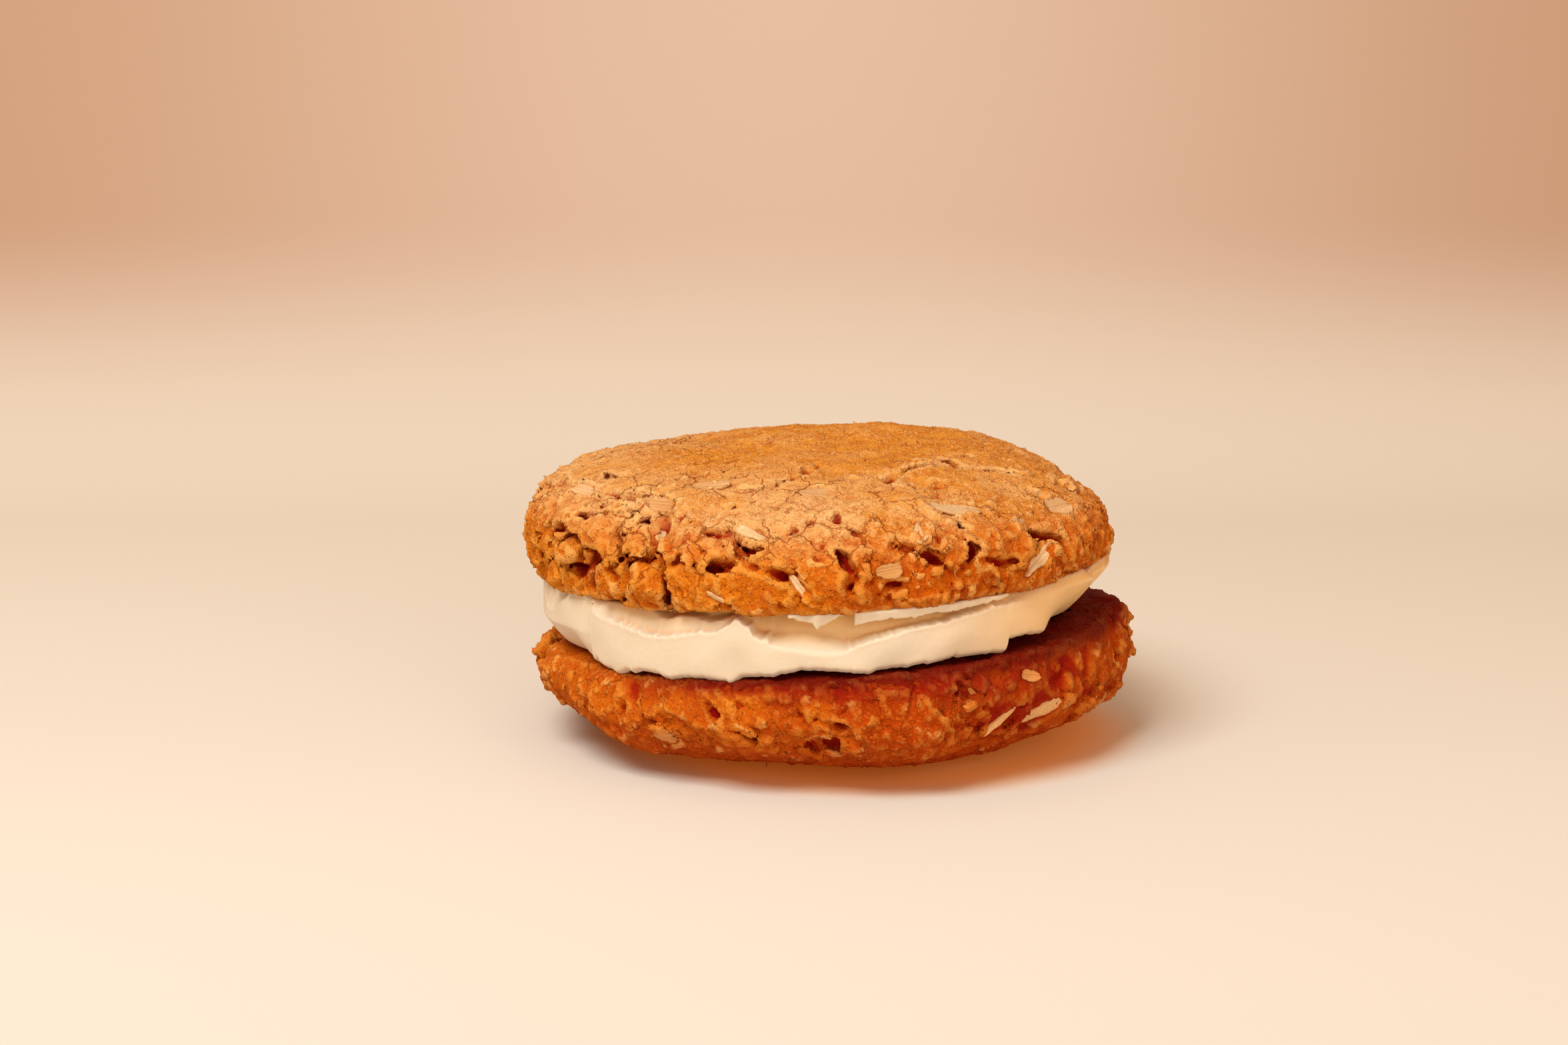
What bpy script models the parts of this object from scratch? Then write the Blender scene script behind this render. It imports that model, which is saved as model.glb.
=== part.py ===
"""An oatmeal cream pie: two craggy oatmeal cookies with a thick band of buttercream between them.

The upper cookie lies crown up and the lower one crown down, so their flat undersides
hold the cream. The origin is on the table under the middle of the whole, +Z is up and
the side that is seen first faces -Y.

A place on a cookie is a bearing and a reach. The bearing is in degrees round the cookie
from +X, so 270 is the front. The reach is in millimetres over the surface, from the
middle of the crown outwards, over the girth and down to the edge of the flat face.
"""

import math
import random
from dataclasses import dataclass

import bmesh
import bpy
import numpy as np
from mathutils import Matrix, Vector, noise
from mathutils.bvhtree import BVHTree

MM = 0.001

# ---- Driving dimensions, in metres ------------------------------------------------

GAP = 0.3 * MM  # clearance between a cookie and the cream


@dataclass(frozen=True)
class Cookie:
    """One round cookie: a crown, a rounded rim and a flat face that leans a little."""

    name: str
    side: int  # +1 crown up, -1 crown down
    middle: float  # place of its middle along X
    radius: float  # at the girth, its widest ring
    girth: float  # height of the girth above the table
    crown: float  # rise of the crown from the girth
    squareness: float  # exponent of the crown's arch: 2 is an ellipse, more is flatter
    face: float  # height of the flat face at the cookie's middle
    lean: float  # rise of the flat face for each metre along X
    face_radius: float  # where the rounded rim meets the flat face
    waver: tuple  # (lobes, share of the radius, bearing) of the uneven outline
    seed: int


TOP = Cookie(
    name="top_cookie",
    side=1,
    middle=-1.45 * MM,
    radius=39.9 * MM,
    girth=28.8 * MM,
    crown=11.2 * MM,
    squareness=3.2,
    face=24.1 * MM,
    lean=0.042,
    face_radius=37.9 * MM,
    waver=((2, 0.004, 10), (3, 0.006, 40), (5, 0.005, -25)),
    seed=11,
)
BOTTOM = Cookie(
    name="bottom_cookie",
    side=-1,
    middle=0.35 * MM,
    radius=41.0 * MM,
    girth=10.8 * MM,
    crown=11.15 * MM,
    squareness=2.8,
    face=16.0 * MM,
    lean=0.065,
    face_radius=37.9 * MM,
    waver=((2, 0.004, 20), (3, 0.006, 75), (5, 0.005, 10)),
    seed=23,
)

# The lower crown rests on a small flat spot: its corners, as (mm from the middle, bearing).
FOOT = ((12.0, 35), (13.0, 125), (12.0, 210), (12.5, 305))
FOOT_SLOPE = 0.05  # rise of the crown, for each metre outwards, close round that spot
FOOT_DEPTH = 1.0 * MM  # dough that lies this close to the table is pressed onto it

GRID_STEP = 1.0 * MM  # spacing of the fine grid that the relief is raised on
RIM_FADE = 2.2  # mm of reach over which the relief dies out towards the flat face

SWELL_SIZE = 13 * MM  # broad unevenness
SWELL_HEIGHT = 0.7 * MM
CRAG_SIZE = 6.5 * MM  # lumps of dough
CRAG_HEIGHT = 1.3 * MM
CRAG_GROOVE = 0.7 * MM
CROWN_SHARE = 0.35  # how strong the crags are on the crown, against the rim
CRAG_REACH = (26, 38)  # reach over which they grow from crown to rim
RAGGED_SIZE = 2.2 * MM  # wobble along a crack's edges
RAGGED_SHARE = 0.45

FLAKE_THICKNESS = 0.9 * MM
FLAKE_ROOT = 1.6 * MM  # how deep a flake's middle is rooted in the dough
FLAKE_SIDES = 8

CREAM_BEARINGS = 100  # sections round the cream

# Triangles left in each cookie before its flakes are joined on.
TRIANGLES = {"top_cookie": 4700, "bottom_cookie": 3500}

# ---- Named features of the cookies ------------------------------------------------

# Each crack is ((bearing, reach) points, width in mm, depth in mm); one point is a pit.
TOP_CRACKS = (
    # the gaping crack in front with a chip of oat over it
    (((247, 37.9), (252.7, 38.4), (258.4, 39.7), (262.6, 37.1), (266, 35.6)), 1.9, 2.8),
    # the deep pocket under it, and the crack that runs down to the cream
    (((241.6, 43.4), (248.8, 43.1), (251.3, 42.6)), 2.1, 2.8),
    (((254, 40.2), (256.7, 42.1), (262.4, 43.5), (265.7, 45.7)), 1.7, 2.5),
    # the crack in the middle
    (((275, 30.9), (273.2, 35.2), (278.2, 36.9), (279.8, 38.4), (282, 37)), 1.3, 1.9),
    (((274, 40.6), (275.8, 42), (276.3, 44), (274.5, 45.2)), 1.8, 2.5),
    # the pitted stretch and the upright crack on the right
    (((284, 39.5), (288.7, 41), (293.1, 42.4)), 1.5, 1.8),
    (((297.2, 35), (298.4, 38), (297.8, 40), (298.9, 42.3)), 1.7, 2.5),
    (((303.5, 29.8), (305, 29.9)), 1.6, 1.6),
    (((308.1, 31.6),), 1.6, 1.6),
    (((325, 31.9), (334, 31.6)), 2.0, 2.0),
    (((317, 41.7), (321, 41.2)), 2.6, 2.2),
    (((340, 40), (344, 42)), 1.6, 1.5),
    # the broken left end
    (((203, 44), (209.5, 41.2), (213, 39.2), (224.6, 36.4)), 2.4, 3.2),
    (((208.7, 35), (219.3, 32.8), (228, 31.6)), 1.9, 1.9),
    (((219.5, 43.6), (217.4, 46), (209, 48.5)), 2.6, 3.2),
    (((226.2, 41.1), (231.3, 42.2), (236, 41.9)), 1.5, 1.6),
    (((229.6, 45.5), (229.8, 49)), 1.5, 1.5),
    # shallow cracks across the crown
    (((244.6, 26.7), (252, 26.6), (260.5, 22.9), (270, 22)), 1.5, 1.1),
    (((262, 12), (276, 16), (287.8, 20.9), (296, 22.3)), 1.5, 1.0),
)
# Each nugget is a lump of dough: (bearing, reach, radius in mm, rise in mm). Each swell
# has the same four numbers, but is broad and soft; one that sinks has a rise below 0.
TOP_NUGGETS = (
    (234.5, 46.8, 2.9, 1.5),
    (222, 40.5, 3.4, 1.1),
    (222, 47.4, 3.0, 1.1),
    (210.5, 44.6, 3.0, 1.0),
)
TOP_SWELLS = (
    (247, 47.0, 6.0, 0.8),
    (271, 46.4, 5.5, 0.8),
    (140, 9, 9.0, 0.9),
    (150, 22, 8.0, -0.8),
    (40, 12, 11.0, 0.5),
    (38, 28, 13.0, 0.8),
)
BOTTOM_CRACKS = (
    (((226, 43.2), (227, 46)), 1.3, 1.1),
    (((244.9, 46.6), (247.5, 44), (254, 41.6)), 1.5, 1.2),
    (((266, 45.4), (271, 44.6)), 2.0, 1.6),
    (((292, 48.6), (298, 46.6), (302, 44.2)), 1.6, 1.5),
    (((293, 36.5), (298, 36.5)), 2.4, 1.8),
    (((315, 46.6), (321, 48)), 1.8, 1.6),
    (((343, 46.5),), 1.8, 1.6),
)
BOTTOM_NUGGETS = (
    (1, 48.6, 3.0, 0.9),
    (186, 48.6, 2.6, 0.8),
)
BOTTOM_SWELLS = (
    (226, 41, 14, 1.6),
    (304, 39, 11, -2.0),
    (318, 41, 11, -1.0),
    (249, 41.5, 6.0, 0.7),
    (274, 42.2, 6.0, 0.8),
    (288, 40.6, 6.0, 0.9),
    (309, 46.2, 6.0, 0.8),
)
# Hidden sides break up in the same way: cracks that wander round from these bearings.
WANDERING_CRACKS = 15
HIDDEN_BEARINGS = (-12, 196)

# Each oat flake is (bearing, reach, length in mm, width in mm, turn, tilt). The turn is
# in degrees from the way round the cookie and lifts the right end, as seen from outside.
# The tilt lifts the upper edge.
TOP_FLAKES = (
    (256, 38.2, 4.6, 3.0, -24, -16),
    (300.5, 33.4, 7.6, 5.0, -10, 4),
    (289.5, 38.2, 3.6, 2.4, 74, 8),
    (331.5, 37.0, 5.2, 4.4, -8, 6),
    (313, 45.0, 8.4, 3.4, 34, -34),
    (268, 27.4, 5.2, 4.4, 10, 4),
    (237.5, 27.0, 6.2, 4.4, 0, 5),
    (228.5, 33.6, 5.4, 3.6, 20, 10),
    (204, 35.0, 4.8, 3.8, 24, 18),
    (249.6, 46.6, 3.2, 2.4, -26, 10),
    (197.5, 43.8, 5.4, 4.4, 66, 6),
    (318, 24.0, 6.0, 4.6, 30, 5),
)
BOTTOM_FLAKES = (
    (303.8, 42.1, 7.4, 2.2, 24, -14),
    (313.6, 42.6, 7.8, 2.8, 32, -14),
    (295.5, 47.8, 3.4, 2.2, -62, 8),
    (308.6, 48.8, 3.6, 2.8, -14, 8),
    (330, 49.0, 4.2, 3.2, 30, 6),
)
SCATTERED_FLAKES = {"top_cookie": 14, "bottom_cookie": 10}
FLAKE_LENGTHS = (4.2, 7.8)  # mm, the shortest and longest of the scattered ones
FLAKE_CLEARANCE = 1.0 * MM  # least space between two flakes
LEAST_FLAKE_HEIGHT = 2.2 * MM  # flakes keep this far above the table

# ---- The cream ---------------------------------------------------------------------

CREAM_MIDDLE = -0.9 * MM  # along X
CREAM_RADIUS = 38.6 * MM  # at the crest of the band
CREAM_SEAT = 36.6 * MM  # where it leaves the lower cookie's face
LIFTED_LIP = (296, 330)  # bearings where its lower edge has come away from the cookie
LIP_LIFT = 0.09  # how far, as a share of the cream's height
RECESS_RADIUS = 36.0 * MM  # where the cream is scooped in under the upper cookie
RECESS = (236, 306)  # bearings of that stretch
# Thin edges of cream that hang from the upper cookie in front of the scooped stretch:
# first and last bearing, and the drop in mm at each.
SKIRTS = ((261, 273, 1.2, 2.6), (276.5, 303, 3.0, 1.3))
MOST_HANG = 0.37  # the deepest skirt, as a share of the cream's height
SKIRT_REACH = 1.2 * MM  # how far a skirt stands out past the scooped wall
LEFT_BULGE = (176, 232)  # bearings of the fat end of the band
BULGE_HEIGHT = 0.7 * MM
# Stretches where the foot of the band is drawn in under it: first and last bearing, the
# depth at the lower cookie, and the share of the height by which the band is full again.
DRAWN_IN = ((178, 212, 3.4 * MM, 0.5), (-36, 24, 6.0 * MM, 0.85))


# ---- Small helpers -----------------------------------------------------------------


def ease(value, low, high):
    """0 below low, 1 above high and an S-curve between."""
    share = np.clip((value - low) / (high - low), 0, 1)
    return share * share * (3 - 2 * share)


def stretch(bearing, first, last, soft):
    """1 between two bearings, falling to 0 over the soft degrees outside them."""
    inside = ease(bearing, first - soft, first + soft)
    return inside * (1 - ease(bearing, last - soft, last + soft))


def material(name, colour, roughness):
    """A plain Principled material, its colour given in linear red, green and blue."""
    made = bpy.data.materials.new(name)
    made.use_nodes = True
    shader = made.node_tree.nodes["Principled BSDF"]
    shader.inputs["Base Color"].default_value = (*colour, 1)
    shader.inputs["Roughness"].default_value = roughness
    shader.inputs["Metallic"].default_value = 0
    return made


def mesh_object(name, points, faces, finish):
    """A mesh object in the scene, with its faces turned outwards."""
    mesh = bpy.data.meshes.new(name)
    mesh.from_pydata([tuple(point) for point in points], [], faces)
    work = bmesh.new()
    work.from_mesh(mesh)
    bmesh.ops.recalc_face_normals(work, faces=work.faces)
    if work.calc_volume(signed=True) < 0:
        bmesh.ops.reverse_faces(work, faces=work.faces)
    work.to_mesh(mesh)
    work.free()
    mesh.materials.append(finish)
    made = bpy.data.objects.new(name, mesh)
    bpy.context.scene.collection.objects.link(made)
    return made


def settle_modifiers(piece):
    """Turns the piece's modifiers into plain mesh."""
    bpy.context.view_layer.update()
    seen = piece.evaluated_get(bpy.context.evaluated_depsgraph_get())
    mesh = bpy.data.meshes.new_from_object(seen)
    piece.modifiers.clear()
    piece.data = mesh


def outward_rings(rings, round_count):
    """Quads between rings of round_count points each; the caller adds both ends."""
    faces = []
    for ring in range(rings - 1):
        for step in range(round_count):
            after = (step + 1) % round_count
            here = ring * round_count
            there = here + round_count
            faces.append((here + step, here + after, there + after, there + step))
    return faces


# ---- The form of a cookie ------------------------------------------------------------


def section(cookie):
    """The half section from crown to face edge, in even steps of GRID_STEP.

    Returns five arrays: reach, radius, share of the crown's rise, share of the drop to
    the face, and the outward direction as (radial, upright) pairs for a crown that is up.
    """
    across = np.linspace(0, math.pi / 2, 400)
    radius = cookie.radius * np.sin(across)
    rise = np.sqrt(np.clip(1 - np.sin(across) ** cookie.squareness, 0, 1))
    round_rim = np.linspace(0, math.pi / 2, 80)[1:]
    rim_depth = abs(cookie.girth - cookie.face)
    rim_width = cookie.radius - cookie.face_radius
    radius = np.append(radius, cookie.face_radius + rim_width * np.cos(round_rim))
    rise = np.append(rise, np.zeros(len(round_rim)))
    drop = np.append(np.zeros(len(across)), np.sin(round_rim))
    height = cookie.crown * rise - rim_depth * drop
    reach = np.append(0, np.cumsum(np.hypot(np.diff(radius), np.diff(height))))
    steps = round(reach[-1] / GRID_STEP)
    even = np.linspace(0, reach[-1], steps + 1)
    radius = np.interp(even, reach, radius)
    rise = np.interp(even, reach, rise)
    drop = np.interp(even, reach, drop)
    height = cookie.crown * rise - rim_depth * drop
    along = np.stack([np.gradient(radius), np.gradient(height)], 1)
    along /= np.linalg.norm(along, axis=1)[:, None]
    outward = np.stack([-along[:, 1], along[:, 0]], 1)
    return even, radius, rise, drop, outward


def outline(cookie, bearing):
    """The uneven outline, as a share of the round one."""
    share = np.ones_like(bearing)
    for lobes, part, start in cookie.waver:
        share += part * np.cos(np.radians(lobes * (bearing - start)))
    return share


def face_height(cookie, x):
    return cookie.face + cookie.lean * (x - cookie.middle)


def from_track(track, bearing, reach, radius):
    """How far each grid point is from a track of (bearing, reach) points, in mm."""
    nearest = np.full(bearing.shape, 1e9)
    ends = [*track[1:], track[-1]] if len(track) > 1 else track
    for (bearing_a, reach_a), (bearing_b, reach_b) in zip(track, ends):
        to_mm = np.radians(1) * radius / MM
        ax = ((bearing_a - bearing + 180) % 360 - 180) * to_mm
        bx = ax + (bearing_b - bearing_a) * to_mm
        ay = reach_a - reach
        by = reach_b - reach
        length = np.maximum((bx - ax) ** 2 + (by - ay) ** 2, 1e-9)
        share = np.clip(-(ax * (bx - ax) + ay * (by - ay)) / length, 0, 1)
        gap = np.hypot(ax + share * (bx - ax), ay + share * (by - ay))
        nearest = np.minimum(nearest, gap)
    return nearest


def wandering_cracks(cookie):
    """Seeded cracks for the sides that the front doesn't show."""
    draw = random.Random(cookie.seed)
    cracks = []
    for number in range(WANDERING_CRACKS):
        first, last = HIDDEN_BEARINGS
        bearing = first + (last - first) * (number + draw.random()) / WANDERING_CRACKS
        reach = draw.uniform(30, 46)
        track = [(bearing, reach)]
        for _ in range(draw.randint(2, 4)):
            bearing += draw.uniform(-3.5, 6)
            reach += draw.uniform(-2.6, 2.6)
            track.append((bearing, min(reach, 48)))
        cracks.append((tuple(track), draw.uniform(1.3, 2.1), draw.uniform(1.2, 2.6)))
    return cracks


def crags(point):
    """Lumps of dough with grooves between them: the height at a point, in metres."""
    distances, cells = noise.voronoi(point / CRAG_SIZE)
    own_height = noise.noise(cells[0] * 5.1)
    lump = 0.5 - distances[0] ** 2 + 0.9 * own_height
    groove = 1 - float(ease(distances[1] - distances[0], 0.0, 0.42))
    return CRAG_HEIGHT * 0.5 * lump - CRAG_GROOVE * groove


def relief(cookie, points, bearing, reach, radius, cracks, nuggets, swells):
    """How far each grid point stands out from the smooth form, in metres."""
    height = np.zeros(bearing.shape)
    ragged = np.zeros(bearing.shape)
    crag_share = CROWN_SHARE + (1 - CROWN_SHARE) * ease(reach, *CRAG_REACH)
    shift = Vector((cookie.seed, 0, 0))
    for index in np.ndindex(bearing.shape):
        point = Vector(points[index])
        height[index] = SWELL_HEIGHT * noise.noise(point / SWELL_SIZE + shift)
        height[index] += crag_share[index] * crags(point + shift)
        ragged[index] = noise.noise(point / RAGGED_SIZE + shift)
    for bearing_at, reach_at, size, rise in nuggets:
        away = from_track(((bearing_at, reach_at),), bearing, reach, radius)
        height += rise * MM * np.sqrt(np.clip(1 - (away / size) ** 2, 0, 1))
    for bearing_at, reach_at, size, rise in swells:
        away = from_track(((bearing_at, reach_at),), bearing, reach, radius)
        height += rise * MM * (1 - ease(away, 0, size))
    for track, width, depth in cracks:
        away = from_track(track, bearing, reach, radius) + RAGGED_SHARE * ragged
        height -= depth * MM * (1 - ease(away, 0.2 * width, width))
    return height * (1 - ease(reach, reach.max() - RIM_FADE, reach.max() - 0.3))


def raised_cookie(cookie, cracks, nuggets, swells, finish):
    """The cookie as a fine closed mesh with its relief, before it is thinned out."""
    reach, radius, rise, drop, outward = section(cookie)
    around = round(2 * math.pi * cookie.radius / GRID_STEP)
    bearing = np.arange(around) * 360 / around
    reach = reach[1:]
    bearings, reaches = np.meshgrid(bearing, reach / MM)
    radii = np.outer(radius[1:], outline(cookie, bearing))
    cosine = np.cos(np.radians(bearings))
    sine = np.sin(np.radians(bearings))
    x = cookie.middle + radii * cosine
    rim_depth = np.abs(cookie.girth - face_height(cookie, x))
    upright = cookie.crown * rise[1:, None] - rim_depth * drop[1:, None]
    smooth = np.stack([x, radii * sine, cookie.girth + cookie.side * upright], -1)
    stand = relief(cookie, smooth, bearings, reaches, radii, cracks, nuggets, swells)
    radial = outward[1:, 0, None] * stand
    lift = outward[1:, 1, None] * stand * cookie.side
    points = smooth + np.stack([radial * cosine, radial * sine, lift], -1)
    rings = len(reach)
    flat = [tuple(point) for point in points.reshape(-1, 3)]
    crown = len(flat)
    flat.append((cookie.middle, 0, points[0, :, 2].mean()))
    flat.append((cookie.middle, 0, cookie.face))
    faces = outward_rings(rings, around)
    last = (rings - 1) * around
    for step in range(around):
        after = (step + 1) % around
        faces.append((crown, step, after))
        faces.append((crown + 1, last + after, last + step))
    return mesh_object(cookie.name, flat, faces, finish)


def thin_out(piece, triangles):
    """Collapses the fine mesh to about so many triangles, where it is flattest first."""
    piece.data.calc_loop_triangles()
    collapse = piece.modifiers.new("thin_out", "DECIMATE")
    collapse.ratio = triangles / len(piece.data.loop_triangles)
    settle_modifiers(piece)


def foot_corners(cookie):
    """The corners of the flat spot, anticlockwise seen from above."""
    corners = []
    for away, bearing in FOOT:
        angle = math.radians(bearing)
        x = cookie.middle + away * MM * math.cos(angle)
        corners.append(Vector((x, away * MM * math.sin(angle), 0)))
    return corners


def press_flat(piece, corners):
    """Flattens the lower crown onto the table, as the cookie's own weight does."""
    for vertex in piece.data.vertices:
        outside = -1.0
        for here, after in zip(corners, corners[1:] + corners[:1]):
            edge = (after - here).normalized()
            away = Vector((edge.y, -edge.x, 0))
            outside = max(outside, (vertex.co - here).dot(away))
        if outside <= 0 and vertex.co.z < FOOT_DEPTH:
            vertex.co.z = 0
        else:
            vertex.co.z = max(vertex.co.z, outside * FOOT_SLOPE)


def square_up(piece, corners):
    """Moves the nearest point of the crown to each corner of the flat spot."""
    for corner in corners:
        nearest = min(piece.data.vertices, key=lambda vertex: (vertex.co - corner).length)
        nearest.co = corner


# ---- Oat flakes ------------------------------------------------------------------------


def flake(place, length, width, finish):
    """A rolled oat: an oval lens with a blunt top, cupped a little along its length."""
    rim = []
    top = []
    for side in range(FLAKE_SIDES):
        turn = 2 * math.pi * (side + 0.5) / FLAKE_SIDES
        x = length / 2 * math.cos(turn)
        y = width / 2 * math.sin(turn)
        cup = FLAKE_THICKNESS * 0.35 * math.cos(2 * turn)
        rim.append(place @ Vector((x, y, cup)))
        top.append(place @ Vector((x * 0.72, y * 0.72, FLAKE_THICKNESS * 0.55)))
    root = place @ Vector((0, 0, -FLAKE_ROOT))
    crest = place @ Vector((0, 0, FLAKE_THICKNESS * 0.5))
    points = [*rim, *top, root, crest]
    faces = outward_rings(2, FLAKE_SIDES)
    for side in range(FLAKE_SIDES):
        after = (side + 1) % FLAKE_SIDES
        faces.append((2 * FLAKE_SIDES, after, side))
        faces.append((2 * FLAKE_SIDES + 1, FLAKE_SIDES + side, FLAKE_SIDES + after))
    return mesh_object("flake", points, faces, finish)


def seat(cookie, skin, bearing, reach, turn, tilt):
    """The matrix that lays a flake on the cookie's skin at a bearing and reach."""
    reaches, radius, rise, drop, outward = section(cookie)
    at = reach * MM
    share = outline(cookie, np.array([float(bearing)]))[0]
    away = np.interp(at, reaches, radius) * share
    up = cookie.crown * np.interp(at, reaches, rise)
    angle = math.radians(bearing)
    x = cookie.middle + away * math.cos(angle)
    up -= abs(cookie.girth - face_height(cookie, x)) * np.interp(at, reaches, drop)
    point = Vector((x, away * math.sin(angle), cookie.girth + cookie.side * up))
    radial = np.interp(at, reaches, outward[:, 0])
    lift = np.interp(at, reaches, outward[:, 1]) * cookie.side
    normal = Vector((radial * math.cos(angle), radial * math.sin(angle), lift))
    normal.normalize()
    found = skin.ray_cast(point + normal * 6 * MM, -normal, 12 * MM)
    along = Vector((-math.sin(angle), math.cos(angle), 0))
    climb = normal.cross(along)
    spin = math.radians(turn)
    lengthwise = (along * math.cos(spin) + climb * math.sin(spin)).normalized()
    sideways = normal.cross(lengthwise)
    frame = Matrix((lengthwise, sideways, normal)).transposed().to_4x4()
    lean = Matrix.Rotation(math.radians(tilt), 4, "X")
    return Matrix.Translation(found[0] + normal * 0.1 * MM) @ frame @ lean


def laid_flakes(cookie, piece, named, finish):
    """The named flakes, then scattered ones drawn at random wherever they fit."""
    skin = BVHTree.FromObject(piece, bpy.context.evaluated_depsgraph_get())
    draw = random.Random(cookie.seed + 1)
    made = []
    taken = []

    def lay(bearing, reach, length, width, turn, tilt):
        place = seat(cookie, skin, bearing, reach, turn, tilt)
        middle = place.translation
        if middle.z < LEAST_FLAKE_HEIGHT:
            return False
        for other, other_length in taken:
            needed = (length + other_length) / 2 * MM + FLAKE_CLEARANCE
            if (other - middle).length < needed:
                return False
        taken.append((middle, length))
        made.append(flake(place, length * MM, width * MM, finish))
        return True

    for size in named:
        lay(*size)
    wanted = len(made) + SCATTERED_FLAKES[cookie.name]
    while len(made) < wanted:
        length = draw.uniform(*FLAKE_LENGTHS)
        lay(
            draw.uniform(0, 360),
            draw.uniform(8, 47.5),
            length,
            length * draw.uniform(0.62, 0.8),
            draw.uniform(-90, 90),
            draw.uniform(-14, 14),
        )
    return made


def fuse(piece, others):
    """Joins the others onto the piece with one Boolean union, and takes them away."""
    together = bpy.data.collections.new("to_join")
    bpy.context.scene.collection.children.link(together)
    for other in others:
        bpy.context.scene.collection.objects.unlink(other)
        together.objects.link(other)
    union = piece.modifiers.new("union", "BOOLEAN")
    union.operation = "UNION"
    union.operand_type = "COLLECTION"
    union.collection = together
    union.solver = "EXACT"
    settle_modifiers(piece)
    for other in others:
        bpy.data.objects.remove(other)
    bpy.data.collections.remove(together)


def keep_main_body(piece):
    """Drops loose scraps and sealed bubbles that a union may leave."""
    work = bmesh.new()
    work.from_mesh(piece.data)
    bmesh.ops.remove_doubles(work, verts=work.verts, dist=0.002 * MM)
    unseen = set(work.verts)
    bodies = []
    while unseen:
        body = {unseen.pop()}
        edge = list(body)
        while edge:
            vertex = edge.pop()
            for link in vertex.link_edges:
                other = link.other_vert(vertex)
                if other not in body:
                    body.add(other)
                    edge.append(other)
        unseen -= body
        bodies.append(body)
    bodies.sort(key=len)
    for body in bodies[:-1]:
        bmesh.ops.delete(work, geom=list(body), context="VERTS")
    work.to_mesh(piece.data)
    work.free()


def cookie_piece(cookie, cracks, nuggets, swells, flakes, finish):
    """A whole cookie: its craggy body, thinned out, with its oat flakes joined on."""
    all_cracks = (*cracks, *wandering_cracks(cookie))
    piece = raised_cookie(cookie, all_cracks, nuggets, swells, finish)
    if cookie.side < 0:
        press_flat(piece, foot_corners(cookie))
    thin_out(piece, TRIANGLES[cookie.name])
    if cookie.side < 0:
        press_flat(piece, foot_corners(cookie))
        square_up(piece, foot_corners(cookie))
    fuse(piece, laid_flakes(cookie, piece, flakes, finish))
    keep_main_body(piece)
    piece.data.shade_smooth()
    piece.data.set_sharp_from_angle(angle=math.radians(45))
    return piece


# ---- The cream ---------------------------------------------------------------------------


def cream_section(bearing):
    """The cream's edge at a bearing, bottom to top, as (radius, share of its height)."""
    angle = math.radians(bearing)
    turn = Vector((math.cos(angle), math.sin(angle), 0))
    wobble = noise.noise(turn * 4.0) * 0.5 * MM + noise.noise(turn * 11.0) * 0.3 * MM
    teeth = noise.noise(turn * 17.0 + Vector((0, 0, 3))) * 0.5 * MM
    bulge = BULGE_HEIGHT * float(stretch(bearing, *LEFT_BULGE, 14))
    scoop = float(stretch(bearing, *RECESS, 7))
    hang = 0.0
    for first, last, first_drop, last_drop in SKIRTS:
        drop = np.interp(bearing, (first, last), (first_drop, last_drop))
        frayed = 1 + 0.35 * noise.noise(turn * 19.0)
        hang = max(hang, drop * frayed * float(stretch(bearing, first, last, 1.2)))
    hang = min(hang * MM / (TOP.face - BOTTOM.face), MOST_HANG)
    lip = 0.01 + LIP_LIFT * float(stretch(bearing, *LIFTED_LIP, 4))
    crest = CREAM_RADIUS + wobble + bulge
    shoulder = crest - 0.5 * MM * (1 - scoop)
    throat = crest - 1.0 * MM + scoop * (RECESS_RADIUS - crest + 1.0 * MM)
    reach_out = SKIRT_REACH * min(hang / 0.12, 1)
    under = 0.97 - hang
    edge = (
        (CREAM_SEAT, 0.0),
        (crest + teeth - 0.3 * MM, lip),
        (crest + 0.3 * teeth + 0.1 * MM, lip + 0.12),
        (crest + 0.2 * MM, 0.34),
        (crest, 0.48),
        (shoulder, 0.58),
        (throat + 0.7 * (shoulder - throat) * (1 - scoop), 0.68),
        (throat, 0.80),
        (throat - reach_out * 0.2, 0.90),
        (throat + reach_out * 1.1, under),
        (throat + reach_out * 1.6, under + 0.02),
        (throat + reach_out * 1.3 + 0.1 * MM, 0.985),
        (min(throat + reach_out, TOP.face_radius - 0.3 * MM), 1.0),
    )
    drawn = []
    for radius, share in edge:
        for first, last, depth, full in DRAWN_IN:
            beside = (bearing - first + 180) % 360 - 180 + first
            radius -= depth * float(stretch(beside, first, last, 8)) * max(1 - share / full, 0)
        drawn.append((radius, share))
    return drawn


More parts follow.
